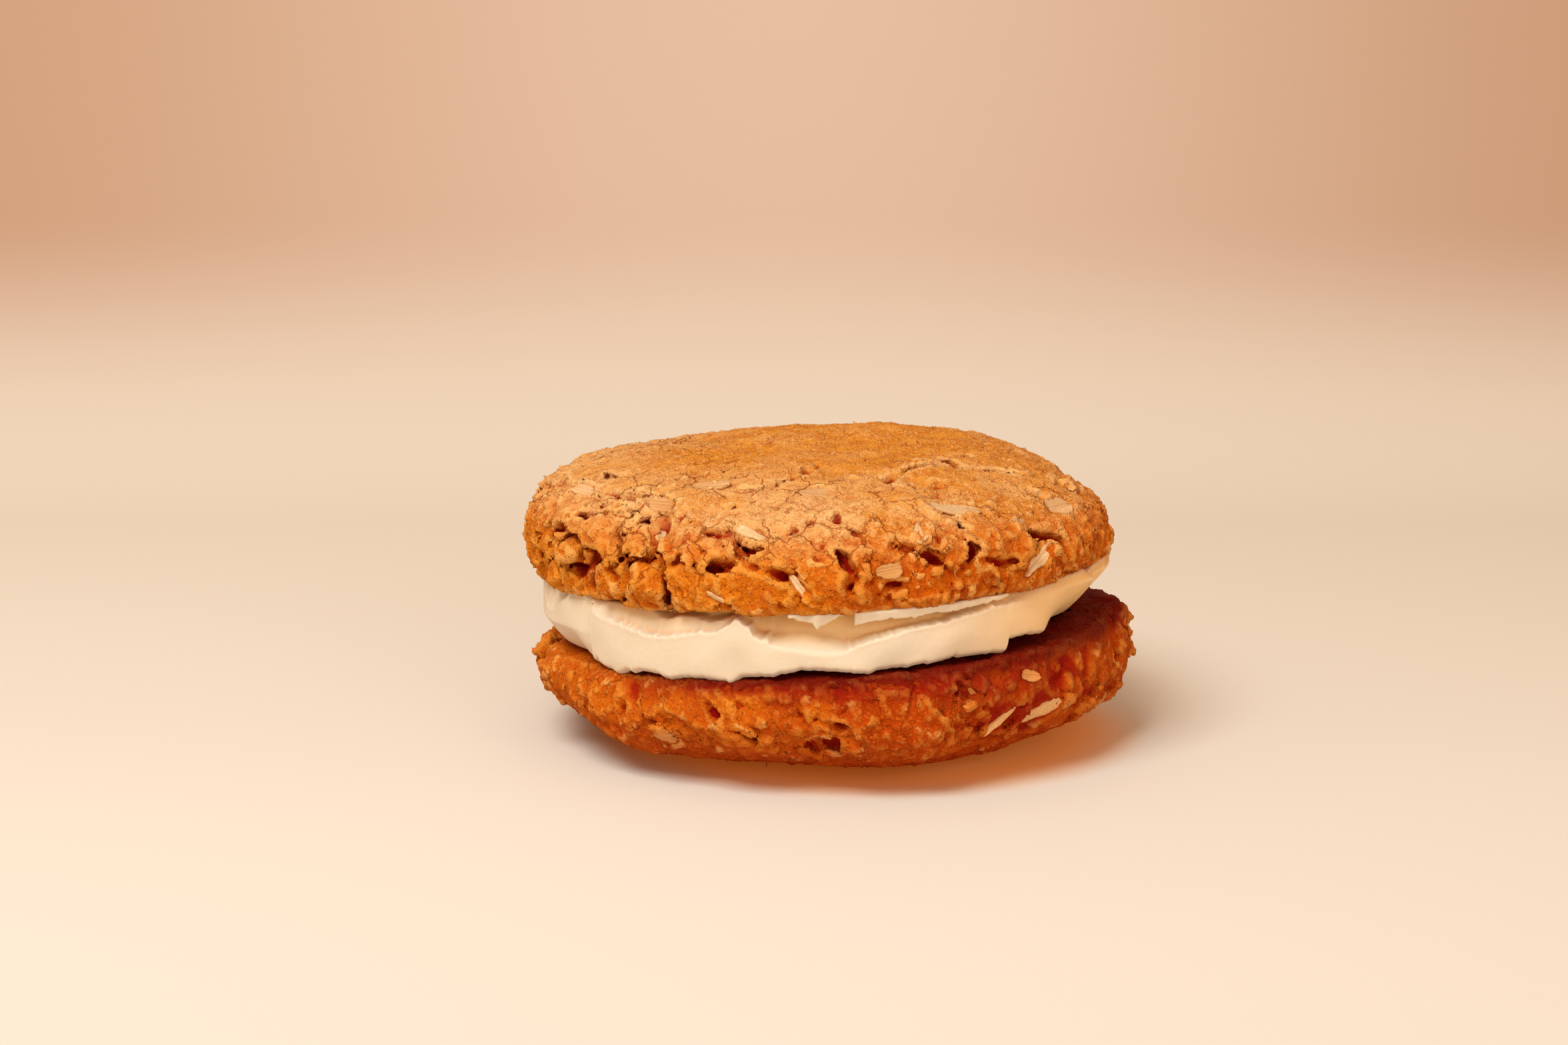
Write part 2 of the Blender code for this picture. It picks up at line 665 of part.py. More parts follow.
def cream_piece(finish):
    """The cream that fills the space between the two flat faces."""
    points = []
    rings = 0
    for step in range(CREAM_BEARINGS):
        bearing = 360 * step / CREAM_BEARINGS
        angle = math.radians(bearing)
        edge = cream_section(bearing)
        rings = len(edge)
        for radius, share in edge:
            x = CREAM_MIDDLE + radius * math.cos(angle)
            low = face_height(BOTTOM, x) + GAP
            high = face_height(TOP, x) - GAP
            points.append((x, radius * math.sin(angle), low + share * (high - low)))
    under = len(points)
    points.append((CREAM_MIDDLE, 0, face_height(BOTTOM, CREAM_MIDDLE) + GAP))
    points.append((CREAM_MIDDLE, 0, face_height(TOP, CREAM_MIDDLE) - GAP))
    faces = []
    for step in range(CREAM_BEARINGS):
        here = step * rings
        there = (step + 1) % CREAM_BEARINGS * rings
        for level in range(rings - 1):
            faces.append((here + level, there + level, there + level + 1, here + level + 1))
        faces.append((under, there, here))
        faces.append((under + 1, here + rings - 1, there + rings - 1))
    piece = mesh_object("cream_filling", points, faces, finish)
    piece.data.shade_smooth()
    piece.data.set_sharp_from_angle(angle=math.radians(40))
    return piece


# ---- Build -------------------------------------------------------------------------------


def build():
    for old in list(bpy.data.objects):
        bpy.data.objects.remove(old)
    baked = material("baked_oat_dough", (0.62, 0.25, 0.075), 0.85)
    baked_under = material("baked_oat_dough_lower", (0.50, 0.17, 0.045), 0.85)
    cream = material("buttercream", (0.90, 0.74, 0.48), 0.5)
    cookie_piece(TOP, TOP_CRACKS, TOP_NUGGETS, TOP_SWELLS, TOP_FLAKES, baked)
    cream_piece(cream)
    cookie_piece(
        BOTTOM, BOTTOM_CRACKS, BOTTOM_NUGGETS, BOTTOM_SWELLS, BOTTOM_FLAKES, baked_under
    )


build()
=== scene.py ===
# %% [markdown]
# # An oatmeal cream pie, cell by cell
#
# The real thing is two soft oatmeal cookies with buttercream spread between their flat
# undersides. Its looks are all in the surface: crust that has cracked open over a rough
# crumb, rolled oats that poke out, and cream with a ragged edge where the knife left it.
#
# A plain solid of each piece is loaded first. It fixes the sizes and the places. Every
# cell after that dresses one of those solids, and works in millimetres from the same
# named sizes, so each new surface lies where its solid is.

# %% Load the solids and keep their size
import math

import bmesh
import bpy
import numpy as np
from mathutils import Matrix, Vector


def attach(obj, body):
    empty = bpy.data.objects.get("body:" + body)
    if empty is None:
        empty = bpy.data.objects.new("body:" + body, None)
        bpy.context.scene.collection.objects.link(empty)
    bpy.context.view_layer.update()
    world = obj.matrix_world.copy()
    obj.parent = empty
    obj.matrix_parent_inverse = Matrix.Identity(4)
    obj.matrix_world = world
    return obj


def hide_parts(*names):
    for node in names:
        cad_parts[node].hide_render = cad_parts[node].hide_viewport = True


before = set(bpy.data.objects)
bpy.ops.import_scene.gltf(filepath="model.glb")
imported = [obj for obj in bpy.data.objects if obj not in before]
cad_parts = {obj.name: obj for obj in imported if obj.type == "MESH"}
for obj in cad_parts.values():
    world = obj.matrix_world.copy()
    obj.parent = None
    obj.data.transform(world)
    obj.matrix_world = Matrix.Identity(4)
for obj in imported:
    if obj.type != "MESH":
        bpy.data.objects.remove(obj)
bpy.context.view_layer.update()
MM = 0.001
print("solids:", sorted(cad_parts))

# %% [markdown]
# ## The camera
#
# The photo was taken from a little above the table, from far enough away that the round
# cookies look like flat ovals. Three things about a camera matter here: where it stands,
# how far it looks down, and its focal length. They were found by moving a simple model
# of two discs until its outline fell on the photo's. The camera is made before anything
# else, so that every later cell can be judged through it.

# %% The camera
CAMERA_PLACE = (-6.45, -415.8, 104.4)  # mm
CAMERA_LOOKS_DOWN = 10.26  # degrees
FOCAL_LENGTH = 70  # mm
SENSOR_WIDTH = 36  # mm

lens = bpy.data.cameras.new("camera")
lens.lens = FOCAL_LENGTH
lens.sensor_width = SENSOR_WIDTH
lens.clip_start = 0.01
camera = bpy.data.objects.new("camera", lens)
camera.location = Vector(CAMERA_PLACE) * MM
camera.rotation_euler = (math.radians(90 - CAMERA_LOOKS_DOWN), 0, 0)
bpy.context.scene.collection.objects.link(camera)
bpy.context.scene.camera = camera
print("camera", round(camera.location.length, 3), "m from the middle of the pie")

# %% [markdown]
# ## Where a point is on a cookie
#
# A cookie is nearly a turned shape, so a place on it is best told by two numbers: the
# bearing round it, and the reach from the middle of the crown outwards over the skin.
# Its section is an arched crown, then a quarter round down to the flat face. The arch is
# a superellipse, because a baked cookie is flatter on top than an ellipse. From the
# section come three things: the distance of any point from the smooth skin, the reach of
# the nearest skin, and the place and outward direction for a given bearing and reach.


# %% The two cookies' forms
class Cookie:
    """The smooth form of one cookie, in millimetres.

    The side is 1 with the crown up and -1 with it down. The middle is an X. The girth is
    how high its widest place lies, and the crown is how far the arch rises from there.
    The squareness is the power in the arch's formula, 2 for an ellipse. The face is how
    high its flat face lies at the middle, and it climbs by the lean for each millimetre
    to the right. The waver lists waves of the outline: how many go round it, their share
    of the radius, and the bearing of a crest. The seed starts the cookie's random draws.
    """

    def __init__(self, node, side, middle, radius, girth, crown, squareness, face, lean,
                 face_radius, waver, seed):
        self.node = node
        self.side = side
        self.middle = middle
        self.radius = radius
        self.girth = girth
        self.crown = crown
        self.face = face
        self.lean = lean
        self.squareness = squareness
        self.face_radius = face_radius
        self.waver = waver
        self.seed = seed
        self.rim_depth = abs(girth - face)
        across = np.linspace(0, math.pi / 2, 400)
        rise = np.sqrt(np.clip(1 - np.sin(across) ** squareness, 0, 1))
        rim = np.linspace(0, math.pi / 2, 80)[1:]
        self.radii = np.append(radius * np.sin(across),
                               face_radius + (radius - face_radius) * np.cos(rim))
        self.heights = np.append(crown * rise, -self.rim_depth * np.sin(rim))
        steps = np.hypot(np.diff(self.radii), np.diff(self.heights))
        self.reaches = np.append(0, np.cumsum(steps))
        self.girth_reach = float(self.reaches[len(across) - 1])
        self.edge_reach = float(self.reaches[-1])

    def outline(self, bearing):
        """The uneven outline, as a share of the round one."""
        share = np.ones_like(bearing, dtype=float)
        for lobes, part, start in self.waver:
            share += part * np.cos(np.radians(lobes * (bearing - start)))
        return share

    def face_height(self, x):
        """How high the flat face lies at that X."""
        return self.face + self.lean * (x - self.middle)

    def level(self, x, z):
        """Height over the girth with the crown up, the leaning face drawn level."""
        height = self.side * (z - self.girth)
        drop = np.abs(self.girth - self.face_height(x))
        return np.where(height < 0, height * self.rim_depth / drop, height)

    def place(self, bearing, reach):
        """The point on the smooth skin and the outward direction there."""
        angle = math.radians(bearing)
        radius = np.interp(reach, self.reaches, self.radii)
        radius *= float(self.outline(np.array(float(bearing))))
        height = np.interp(reach, self.reaches, self.heights)
        x = self.middle + radius * math.cos(angle)
        if height < 0:
            height *= abs(self.girth - self.face_height(x)) / self.rim_depth
        ends = np.clip([reach - 0.5, reach + 0.5], 0, self.edge_reach)
        along = np.diff(np.interp(ends, self.reaches, self.radii))[0]
        down = np.diff(np.interp(ends, self.reaches, self.heights))[0]
        point = Vector((x, radius * math.sin(angle), self.girth + self.side * height))
        outward = Vector((-down * math.cos(angle), -down * math.sin(angle), along * self.side))
        return point, outward.normalized()


TOP = Cookie(
    "top_cookie", side=1, middle=-1.45, radius=39.9, girth=28.8, crown=11.2,
    squareness=3.2, face=24.1, lean=0.042, face_radius=37.9,
    waver=((2, 0.004, 10), (3, 0.006, 40), (5, 0.005, -25)), seed=11)
BOTTOM = Cookie(
    "bottom_cookie", side=-1, middle=0.35, radius=41.0, girth=10.8, crown=11.15,
    squareness=2.8, face=16.0, lean=0.065, face_radius=37.9,
    waver=((2, 0.004, 20), (3, 0.006, 75), (5, 0.005, 10)), seed=23)
for cookie in (TOP, BOTTOM):
    print(cookie.node, "girth at reach", round(cookie.girth_reach, 1),
          "face edge at", round(cookie.edge_reach, 1))

# %% [markdown]
# ## Building in little cubes
#
# A cracked crumb has overhangs, holes and grains that stand out. Pushing the points of a
# sphere in and out can't make those. So the cookies are built the way a scanner sees
# them: a block of space is cut into small cubes, and each corner holds its distance from
# the dough, less than nothing inside. Adding a lump or cutting a crack is then one line
# of arithmetic, and a skin is wrapped round the zero at the end.
#
# A `Block` knows where its corners are, and `near` gives the small part of it round a
# point, so that a stamp costs little. `soft_noise` fills a block with smooth random
# values by stretching a coarse random lattice. `sand_noise` changes from cube to cube.


# %% Blocks and their noises
def ease(value, low, high):
    """0 below low, 1 above high and an S-curve between."""
    share = np.clip((value - low) / (high - low), 0, 1)
    return share * share * (3 - 2 * share)


def turn_between(bearing, other):
    """Degrees from one bearing to another, the short way round."""
    return np.abs((bearing - other + 180) % 360 - 180)


class Block:
    """Evenly spaced corners between two points."""

    def __init__(self, low, high, step):
        self.low = np.array(low, np.float32)
        self.step = step
        self.shape = tuple(int(math.ceil((b - a) / step)) + 1 for a, b in zip(low, high))
        ranges = [low[i] + step * np.arange(self.shape[i]) for i in range(3)]
        self.axes = np.meshgrid(*[r.astype(np.float32) for r in ranges],
                                indexing="ij", sparse=True)

    def near(self, point, reach):
        """Slices of the block within reach of a point, cut to the block."""
        first = np.floor((np.array(point) - reach - self.low) / self.step).astype(int)
        last = np.ceil((np.array(point) + reach - self.low) / self.step).astype(int) + 1
        first = np.clip(first, 0, self.shape)
        last = np.clip(last, 0, self.shape)
        return tuple(slice(a, b) for a, b in zip(first, last))


def soft_noise(block, size, seed):
    """Smooth random values with lumps of about that size and a spread of 1."""
    draw = np.random.default_rng(seed)
    knots = [int(count * block.step / size) + 5 for count in block.shape]
    field = draw.standard_normal(knots).astype(np.float32)
    for axis, count in enumerate(block.shape):
        place = np.arange(count) * block.step / size + 1
        first = place.astype(int)
        t = place - first
        spread = np.zeros((count, knots[axis]), np.float32)
        weights = ((1 - t) ** 3, 3 * t**3 - 6 * t**2 + 4,
                   -3 * t**3 + 3 * t**2 + 3 * t + 1, t**3)  # of a cubic spline, times 6
        for shift, weight in enumerate(weights):
            spread[np.arange(count), first + shift - 1] = weight / 6
        field = np.moveaxis(np.tensordot(spread, field, axes=(1, axis)), 0, axis)
    return np.ascontiguousarray(field / field.std())


def sand_noise(block, seed):
    """Random values from cube to cube, each blended with its neighbours, spread 1."""
    values = np.random.default_rng(seed).standard_normal(block.shape, dtype=np.float32)
    for axis in range(3):
        values = 2 * values + np.roll(values, 1, axis) + np.roll(values, -1, axis)
    return values / values.std()


def wobble(block, size, strength, seed):
    """Three soft noises to shift places by, so that no edge comes out clean."""
    return [strength * soft_noise(block, size, seed + axis) for axis in range(3)]


def offsets(block, part, point, shift=None):
    """How far each cube of a part of the block is from a point, along X, Y and Z."""
    away = []
    for axis in range(3):
        place = block.axes[axis][tuple(part[i] if i == axis else slice(None) for i in range(3))]
        if shift is not None:
            place = place + shift[axis][part]
        away.append(place - point[axis])
    return away


print("a block of 2 mm in steps of 0.5 has", Block((0, 0, 0), (2, 2, 2), 0.5).shape, "corners")

# %% [markdown]
# The skin is wrapped by a method called surface nets. Each cube that the skin passes
# through gets one point, at the mean of the places where its edges cross the zero. Where
# an edge between two corners crosses it, the points of the four cubes round that edge
# are joined by a four-sided face. This gives an even mesh of quads, which shades more
# smoothly than the slivers of marching cubes.


# %% Wrapping a skin
def wrap_skin(field, ring=False):
    """Points, in steps of the block, and quads where the field passes through nothing.

    With ring, the first axis closes on itself, as bearings round a cake do.
    """
    if ring:
        field = np.concatenate([field, field[:1]])
    inside = field < 0
    cells = tuple(count - 1 for count in field.shape)
    corners = [(i, j, k) for i in (0, 1) for j in (0, 1) for k in (0, 1)]

    def corner(array, i, j, k):
        return array[i:cells[0] + i, j:cells[1] + j, k:cells[2] + k]

    count = sum(corner(inside, *at).astype(np.int8) for at in corners)
    crossed = (count > 0) & (count < 8)
    where = np.argwhere(crossed)
    number = np.full(cells, -1, np.int32)
    number[crossed] = np.arange(len(where))
    total = np.zeros((len(where), 3))
    hits = np.zeros(len(where))
    for start in corners:
        for axis in range(3):
            if start[axis]:
                continue
            end = list(start)
            end[axis] = 1
            a = corner(field, *start)[crossed]
            b = corner(field, *end)[crossed]
            cut = (a < 0) != (b < 0)
            share = np.where(cut, a / np.where(cut, a - b, 1), 0)
            at = np.tile(np.array(start, float), (len(where), 1))
            at[:, axis] = share
            total[cut] += at[cut]
            hits[cut] += 1
    points = where + total / hits[:, None]
    quads = []
    for axis in range(3):
        b, c = (axis + 1) % 3, (axis + 2) % 3
        low = [slice(None)] * 3
        high = [slice(None)] * 3
        low[axis] = slice(0, cells[axis])
        high[axis] = slice(1, cells[axis] + 1)
        if ring and axis:
            low[0] = high[0] = slice(0, cells[0])
        leaves = inside[tuple(low)] & ~inside[tuple(high)]
        enters = ~inside[tuple(low)] & inside[tuple(high)]
        for crossing, order in ((leaves, 1), (enters, -1)):
            at = np.argwhere(crossing)
            around = []
            keep = np.ones(len(at), bool)
            for db, dc in ((0, 0), (-1, 0), (-1, -1), (0, -1)):
                cell = at.copy()
                cell[:, b] += db
                cell[:, c] += dc
                if ring:
                    cell[:, 0] %= cells[0]
                keep &= ((cell >= 0) & (cell < cells)).all(1)
                around.append(cell)
            faces = [number[tuple(cell[keep].T)] for cell in around]
            quads.append(np.stack(faces[::order], 1))
    return points, np.concatenate(quads)


print("a single corner inside gets", len(wrap_skin(np.pad([[[-1.0]]], 1, constant_values=1))[1]),
      "faces")

# %% [markdown]
# ## The dough
#
# Real cookie dough is lumps of several sizes pressed together. Here they are random
# seeds: each corner of the block finds its nearest seed, and stands higher near the
# middle of a lump and lower in the groove between two. The crown keeps only a hint of
# it, because its crust dried smooth, while the rim is broken all the way round.
#
# The distance from the smooth cookie is worked out once, as a table over radius and
# height, because the form is a turned one. Every corner then looks itself up in it.


# %% Distance from the smooth cookie, and lumps
TABLE_STEP = 0.25  # mm between the values of a table
TABLE_PAST = 5  # mm that a table reaches past the cookie
NO_SEED_YET = 9.0  # sizes, further off than any seed that is found


def form_tables(cookie):
    """Distance from the skin, less than nothing inside, and the nearest skin's reach."""
    radius, height = np.meshgrid(
        np.arange(0, cookie.radius + TABLE_PAST, TABLE_STEP),
        np.arange(-cookie.rim_depth - TABLE_PAST, cookie.crown + TABLE_PAST, TABLE_STEP),
        indexing="ij")
    face = np.linspace(cookie.face_radius, 0, 160)[1:]
    skin_radius = np.append(cookie.radii, face)
    skin_height = np.append(cookie.heights, np.full(len(face), -cookie.rim_depth))
    skin_reach = np.append(cookie.reaches, np.full(len(face), cookie.edge_reach))
    nearest = np.full(radius.shape, 1e9)
    reach = np.zeros(radius.shape)
    pieces = zip(np.diff(skin_radius), np.diff(skin_height), np.diff(skin_reach))
    for here, (across, up, along) in enumerate(pieces):
        right, over = radius - skin_radius[here], height - skin_height[here]
        share = np.clip((right * across + over * up) / (across**2 + up**2), 0, 1)
        gap = np.hypot(right - share * across, over - share * up)
        closer = gap < nearest
        nearest[closer] = gap[closer]
        reach[closer] = (skin_reach[here] + share * along)[closer]
    crown_height = cookie.crown * np.sqrt(
        np.clip(1 - (radius / cookie.radius) ** cookie.squareness, 0, 1))
    turn = np.clip((radius - cookie.face_radius) / (cookie.radius - cookie.face_radius), 0, 1)
    floor = -cookie.rim_depth * np.sqrt(1 - turn**2)
    within = (radius < cookie.radius) & (height < crown_height) & (height > floor)
    signed = np.where(within, -nearest, nearest)
    return signed.astype(np.float32), reach.astype(np.float32)


def smooth_form(cookie, block):
    """Distance from the cookie's smooth skin, reach, bearing and radius."""
    x, y, z = block.axes
    bearing = np.degrees(np.arctan2(y, x - cookie.middle)) % 360
    radius = np.hypot(x - cookie.middle, y) / cookie.outline(bearing)
    height = cookie.level(x, z) - (-cookie.rim_depth - TABLE_PAST)
    signed, reach = form_tables(cookie)
    u = np.clip(radius / TABLE_STEP, 0, signed.shape[0] - 1.001)
    v = np.clip(height / TABLE_STEP, 0, signed.shape[1] - 1.001)
    u, v = np.broadcast_arrays(u.astype(np.float32), v.astype(np.float32))
    iu, iv = u.astype(int), v.astype(int)
    fu, fv = u - iu, v - iv

    def look_up(table):
        near = table[iu, iv] * (1 - fv) + table[iu, iv + 1] * fv
        far = table[iu + 1, iv] * (1 - fv) + table[iu + 1, iv + 1] * fv
        return near * (1 - fu) + far * fu

    return look_up(signed), look_up(reach), bearing, radius


def lumps(block, near_skin, size, warp, seed):
    """Distances to the nearest and next seed, in sizes, and the nearest seed's own value."""
    draw = np.random.default_rng(seed)
    counts = [int(n * block.step / size) + 1 for n in block.shape]
    cells = np.argwhere(np.ones(counts))
    seeds = (cells + draw.random(cells.shape)) * size / block.step
    index = np.clip(seeds.astype(int), 0, np.array(block.shape) - 1)
    seeds = seeds[near_skin[tuple(index.T)]]
    first = np.full(block.shape, NO_SEED_YET, np.float32)
    second = np.full(block.shape, NO_SEED_YET, np.float32)
    value = np.zeros(block.shape, np.float32)
    for at, own in zip(seeds * block.step + block.low, draw.uniform(-1, 1, len(seeds))):
        part = block.near(at, 1.7 * size)
        gap = np.sqrt(sum(away**2 for away in offsets(block, part, at, warp))) / size
        closer = gap < first[part]
        second[part] = np.where(closer, first[part], np.minimum(second[part], gap))
        value[part] = np.where(closer, own, value[part])
        first[part] = np.minimum(first[part], gap)
    return first, second, value


print("tables of", *form_tables(TOP)[0].shape, "values for the upper cookie")

# %% [markdown]
# ## Cracks, nuggets and pits
#
# A crust dries first and then tears as the dough under it goes on rising. So a crack is
# open at its lips and closes further down, and its walls are as rough as the crumb. It
# is told as a track of places on the skin with its width at each, and carved out of the
# block.
#
# A nugget is a ball pressed into the dough with a thin moat round it. Swells are broad
# hills and dips. Pits are the small bubbles of the crumb: a few hundred little balls
# taken away.


# %% Carving and adding
CRACK_PROFILE_DEPTH = (-1.5, 0.0, 0.35, 1.0, 1.5)  # share of the crack's depth
CRACK_PROFILE_WIDTH = (1.5, 1.0, 0.85, 0.15, -1.2)  # share of its width there
CRACK_SHARE = 0.74  # cut width against the width that looks dark
CRACK_SHALLOW = 0.35  # share of the depth that the narrowest stretch of a crack keeps
MOAT = 0.35  # mm, the gap round a nugget


def carve(cookie, block, field, shift, rough, track, depth):
    """Cuts a crack along (bearing, reach, width) stations, that deep at its widest."""
    stations = [(*cookie.place(bearing, reach), CRACK_SHARE * width)
                for bearing, reach, width in track]
    widest = max(width for _, _, width in stations)
    if len(stations) == 1:
        stations = stations * 2
    for (start, up, width), (end, next_up, next_width) in zip(stations, stations[1:]):
        along = end - start
        part = block.near((start + end) / 2, along.length / 2 + depth + widest)
        spot = offsets(block, part, start, shift)
        share = sum(spot[i] * along[i] for i in range(3)) / max(along.length_squared, 1e-6)
        share = np.clip(share, 0, 1)
        spot = [spot[i] - share * along[i] for i in range(3)]
        normal = [up[i] + share * (next_up[i] - up[i]) for i in range(3)]
        height = sum(spot[i] * normal[i] for i in range(3))
        away = np.sqrt(np.maximum(sum(gap**2 for gap in spot) - height**2, 0))
        here = width + share * (next_width - width)
        full = depth * (CRACK_SHALLOW + (1 - CRACK_SHALLOW) * here / widest)
        wide = np.interp(-height / full, CRACK_PROFILE_DEPTH, CRACK_PROFILE_WIDTH)
        field[part] = np.maximum(field[part], here / 2 * wide - away - rough[part])


def distance_from(block, part, point, shift=None):
    """How far each cube of a part of the block is from a point."""
    return np.sqrt(sum(gap**2 for gap in offsets(block, part, point, shift)))


def press_in(cookie, block, field, shift, rough, bearing, reach, size, rise):
    """Sets a ball of dough into the skin, standing that far out, with a moat round it."""
    point, up = cookie.place(bearing, reach)
    middle = point + up * (rise - size)
    part = block.near(middle, size + 2 * MOAT)
    away = distance_from(block, part, middle, shift)
    cut = MOAT - np.abs(away - size - MOAT / 2)
    field[part] = np.minimum(np.maximum(field[part], cut), away - size + rough[part])


def swell_up(cookie, block, stand, bearing, reach, size, rise):
    """Raises or sinks a broad round patch of the skin."""
    point, _ = cookie.place(bearing, reach)
    part = block.near(point, size)
    stand[part] += rise * (1 - ease(distance_from(block, part, point), 0, size))


def pit(block, field, point, size):
    """Takes a little ball away."""
    part = block.near(point, size + block.step)
    field[part] = np.maximum(field[part], size - distance_from(block, part, point))


print("a crack's width at half its depth is",
      round(float(np.interp(0.5, CRACK_PROFILE_DEPTH, CRACK_PROFILE_WIDTH)), 2), "of its lips")

# %% [markdown]
# ## The cracks and lumps that the photo shows
#
# Everything here was read off the photo and written down as a place on the cookie, so it
# stays where it is from every side. Each crack is its stations, as bearing, reach and
# width in millimetres, and then its depth. A nugget or a swell is a bearing, a reach, a
# radius and how far it stands out.

# %% Cracks and lumps of the upper cookie
TOP_CRACKS = (
    # the gaping crack in front, under a chip of oat
    (((246, 37.9, 0.7), (249.5, 37.6, 1.2), (252.7, 38.6, 2.2), (255.4, 39.3, 2.6),
      (258.4, 39.7, 2.2), (260.2, 38.3, 2.0), (262.6, 37.1, 1.5), (265, 35.9, 1.2),
      (267.5, 35.2, 0.7)), 3.0),
    # the pocket below it
    (((240.8, 43.6, 1.3), (243.5, 43.2, 1.9), (245.5, 43.1, 2.2), (248.8, 43.1, 2.3),
      (251.3, 42.6, 1.8), (253.2, 42.0, 1.0)), 2.8),
    # the crack that runs down from it to the cream
    (((252.8, 39.6, 0.9), (254, 40.6, 1.2), (256.7, 42.1, 1.9), (258.9, 43.2, 2.0),
      (262.4, 43.5, 1.8), (264.4, 44.5, 1.8), (265.7, 45.9, 1.5), (266.5, 47.5, 1.1)), 2.6),
    # the crooked crack in the middle, and the gap under it
    (((275, 30.9, 0.9), (274.3, 32.4, 1.4), (273.4, 34, 1.0), (273.2, 35.2, 0.8),
      (276.1, 35.9, 0.8), (278.2, 36.9, 1.1), (280, 38.6, 1.8), (281.4, 37.4, 0.8)), 2.0),
    (((272.8, 40.4, 1.2), (274.3, 41, 1.6), (275.4, 42.4, 2.0), (276.2, 43.8, 1.9),
      (275.7, 44.9, 1.2), (274.6, 45.9, 0.9), (276.3, 47.2, 0.9)), 2.8),
    # the pitted stretch to the right of it
    (((284, 39.6, 1.1), (285.8, 40.5, 1.7), (288.8, 40.9, 1.5), (291.7, 41.7, 1.8),
      (293.2, 42.8, 1.0)), 2.2),
    (((283, 44.8, 1.2), (285.3, 44.6, 1.2)), 1.6),
    # the upright crack
    (((297.4, 34.8, 1.0), (298.8, 36, 1.9), (298.9, 37.6, 2.1), (300.2, 38.3, 1.5),
      (299.6, 39.6, 1.1), (299.2, 40.8, 1.5), (298.8, 42, 1.6), (298.4, 43.2, 0.8)), 2.6),
    # small holes on the right, and the broken patch beside the curled oat
    (((303, 29.6, 1.3), (305, 29.9, 1.8)), 1.9),
    (((308.1, 31.5, 1.8),), 1.7),
    (((324, 31, 0.8), (328, 30.6, 1.4), (330.2, 31.5, 2.2), (330, 33.2, 2.4),
      (331, 34.6, 1.1)), 1.8),
    (((315, 40.5, 1.2), (317.4, 40.2, 2.2), (319.6, 41, 2.6), (321.4, 42, 2.1),
      (323, 43.4, 1.1)), 2.2),
    (((302.5, 42.6, 0.9), (305.3, 43.3, 1.3), (308, 42.9, 0.9), (311, 44.1, 1.0)), 1.5),
    (((305.6, 44.4, 0.9), (304.6, 46, 1.4), (304.2, 47.4, 0.9)), 1.8),
    (((329.8, 42.7, 1.6), (331, 43.2, 1.2)), 1.6),
    (((340, 38.9, 1.7), (341, 40.4, 1.3)), 1.6),
    # the left end, where the rim has broken into chunks
    (((202, 43, 1.2), (205, 42.4, 1.8), (208, 41.4, 2.3), (210.5, 41.4, 2.0),
      (213.2, 42.3, 1.8), (218.6, 43.2, 2.0), (222.8, 44, 1.4), (225.5, 45.2, 0.9)), 3.0),
    (((209.5, 46.6, 1.3), (211.1, 45.9, 2.0), (213.9, 46.4, 2.5), (217.5, 46.1, 2.4),
      (220.5, 44.8, 2.0)), 3.0),
    (((219, 46.4, 1.7), (217.5, 48.2, 1.5), (216.5, 49.8, 1.2)), 2.2),
    (((205, 35.4, 0.9), (207.5, 34.4, 1.4), (215.6, 33.9, 1.5), (221.8, 33.3, 1.7),
      (226.5, 31, 1.4), (230, 30.2, 0.8)), 1.7),
    (((209, 39.4, 1.0), (214.3, 38.8, 1.2), (219.7, 37.2, 1.3), (225.8, 35.7, 1.2),
      (229, 34.8, 0.8)), 1.7),
    (((225.8, 35.7, 0.9), (225.1, 39.5, 1.4), (226, 41.1, 1.6), (226.6, 43.2, 1.1),
      (228.2, 45.6, 1.2), (229.6, 48.6, 1.5)), 2.3),
    (((230.5, 35.4, 0.8), (232, 36.9, 1.0), (234.4, 39.2, 1.1), (235.8, 41.6, 1.2),
      (237.6, 43.6, 1.3), (238.8, 46, 1.1), (239.2, 48.5, 1.1)), 1.9),
    (((226.3, 44.4, 0.9), (230.5, 43.7, 1.1), (235.5, 43.2, 0.9)), 1.7),
    # shallow cracks over the crown
    (((244.6, 27.4, 1.2), (248, 27.2, 1.8), (252, 26.6, 1.6), (254.9, 24.9, 1.5),
      (258, 23.6, 2.2), (260.5, 22.4, 1.8), (264, 19.4, 1.8), (269.5, 15.2, 1.8),
      (281, 12.9, 1.2)), 1.3),
    (((284.8, 19, 1.2), (287.8, 20.9, 1.6), (290.4, 23.3, 1.5), (296, 22.3, 1.8),
      (303.7, 20.4, 1.4), (316, 21, 1.4), (324, 23, 0.9)), 1.3),
    (((318, 17, 0.9), (323, 20.5, 1.8), (328, 23.2, 2.2), (333, 25.6, 1.6),
      (338, 28.6, 1.4), (342, 31.6, 0.8)), 1.5),
    (((297, 32.2, 0.8), (299.6, 30.8, 1.3), (303.2, 27.4, 1.5), (309, 26.4, 1.2),
      (315, 27.8, 0.8)), 1.3),
    (((276, 25.4, 0.8), (281, 26.2, 1.3), (286, 25.2, 1.3), (290.4, 26.6, 0.8)), 1.2),
)
TOP_NUGGETS = (
    (234.3, 46.4, 2.7, 1.7),
    (312.0, 44.4, 0.9, 0.5),  # four small ones in a row along the rim
    (314.0, 43.7, 0.9, 0.6),
    (316.5, 42.9, 1.0, 0.8),
    (319.5, 42.2, 1.2, 1.0),
    (231.3, 40.0, 3.0, 0.7),
    (212.0, 44.2, 2.3, 0.7),
    (224.0, 46.8, 3.2, 0.8),
    (204.5, 47.2, 2.4, 0.5),
)
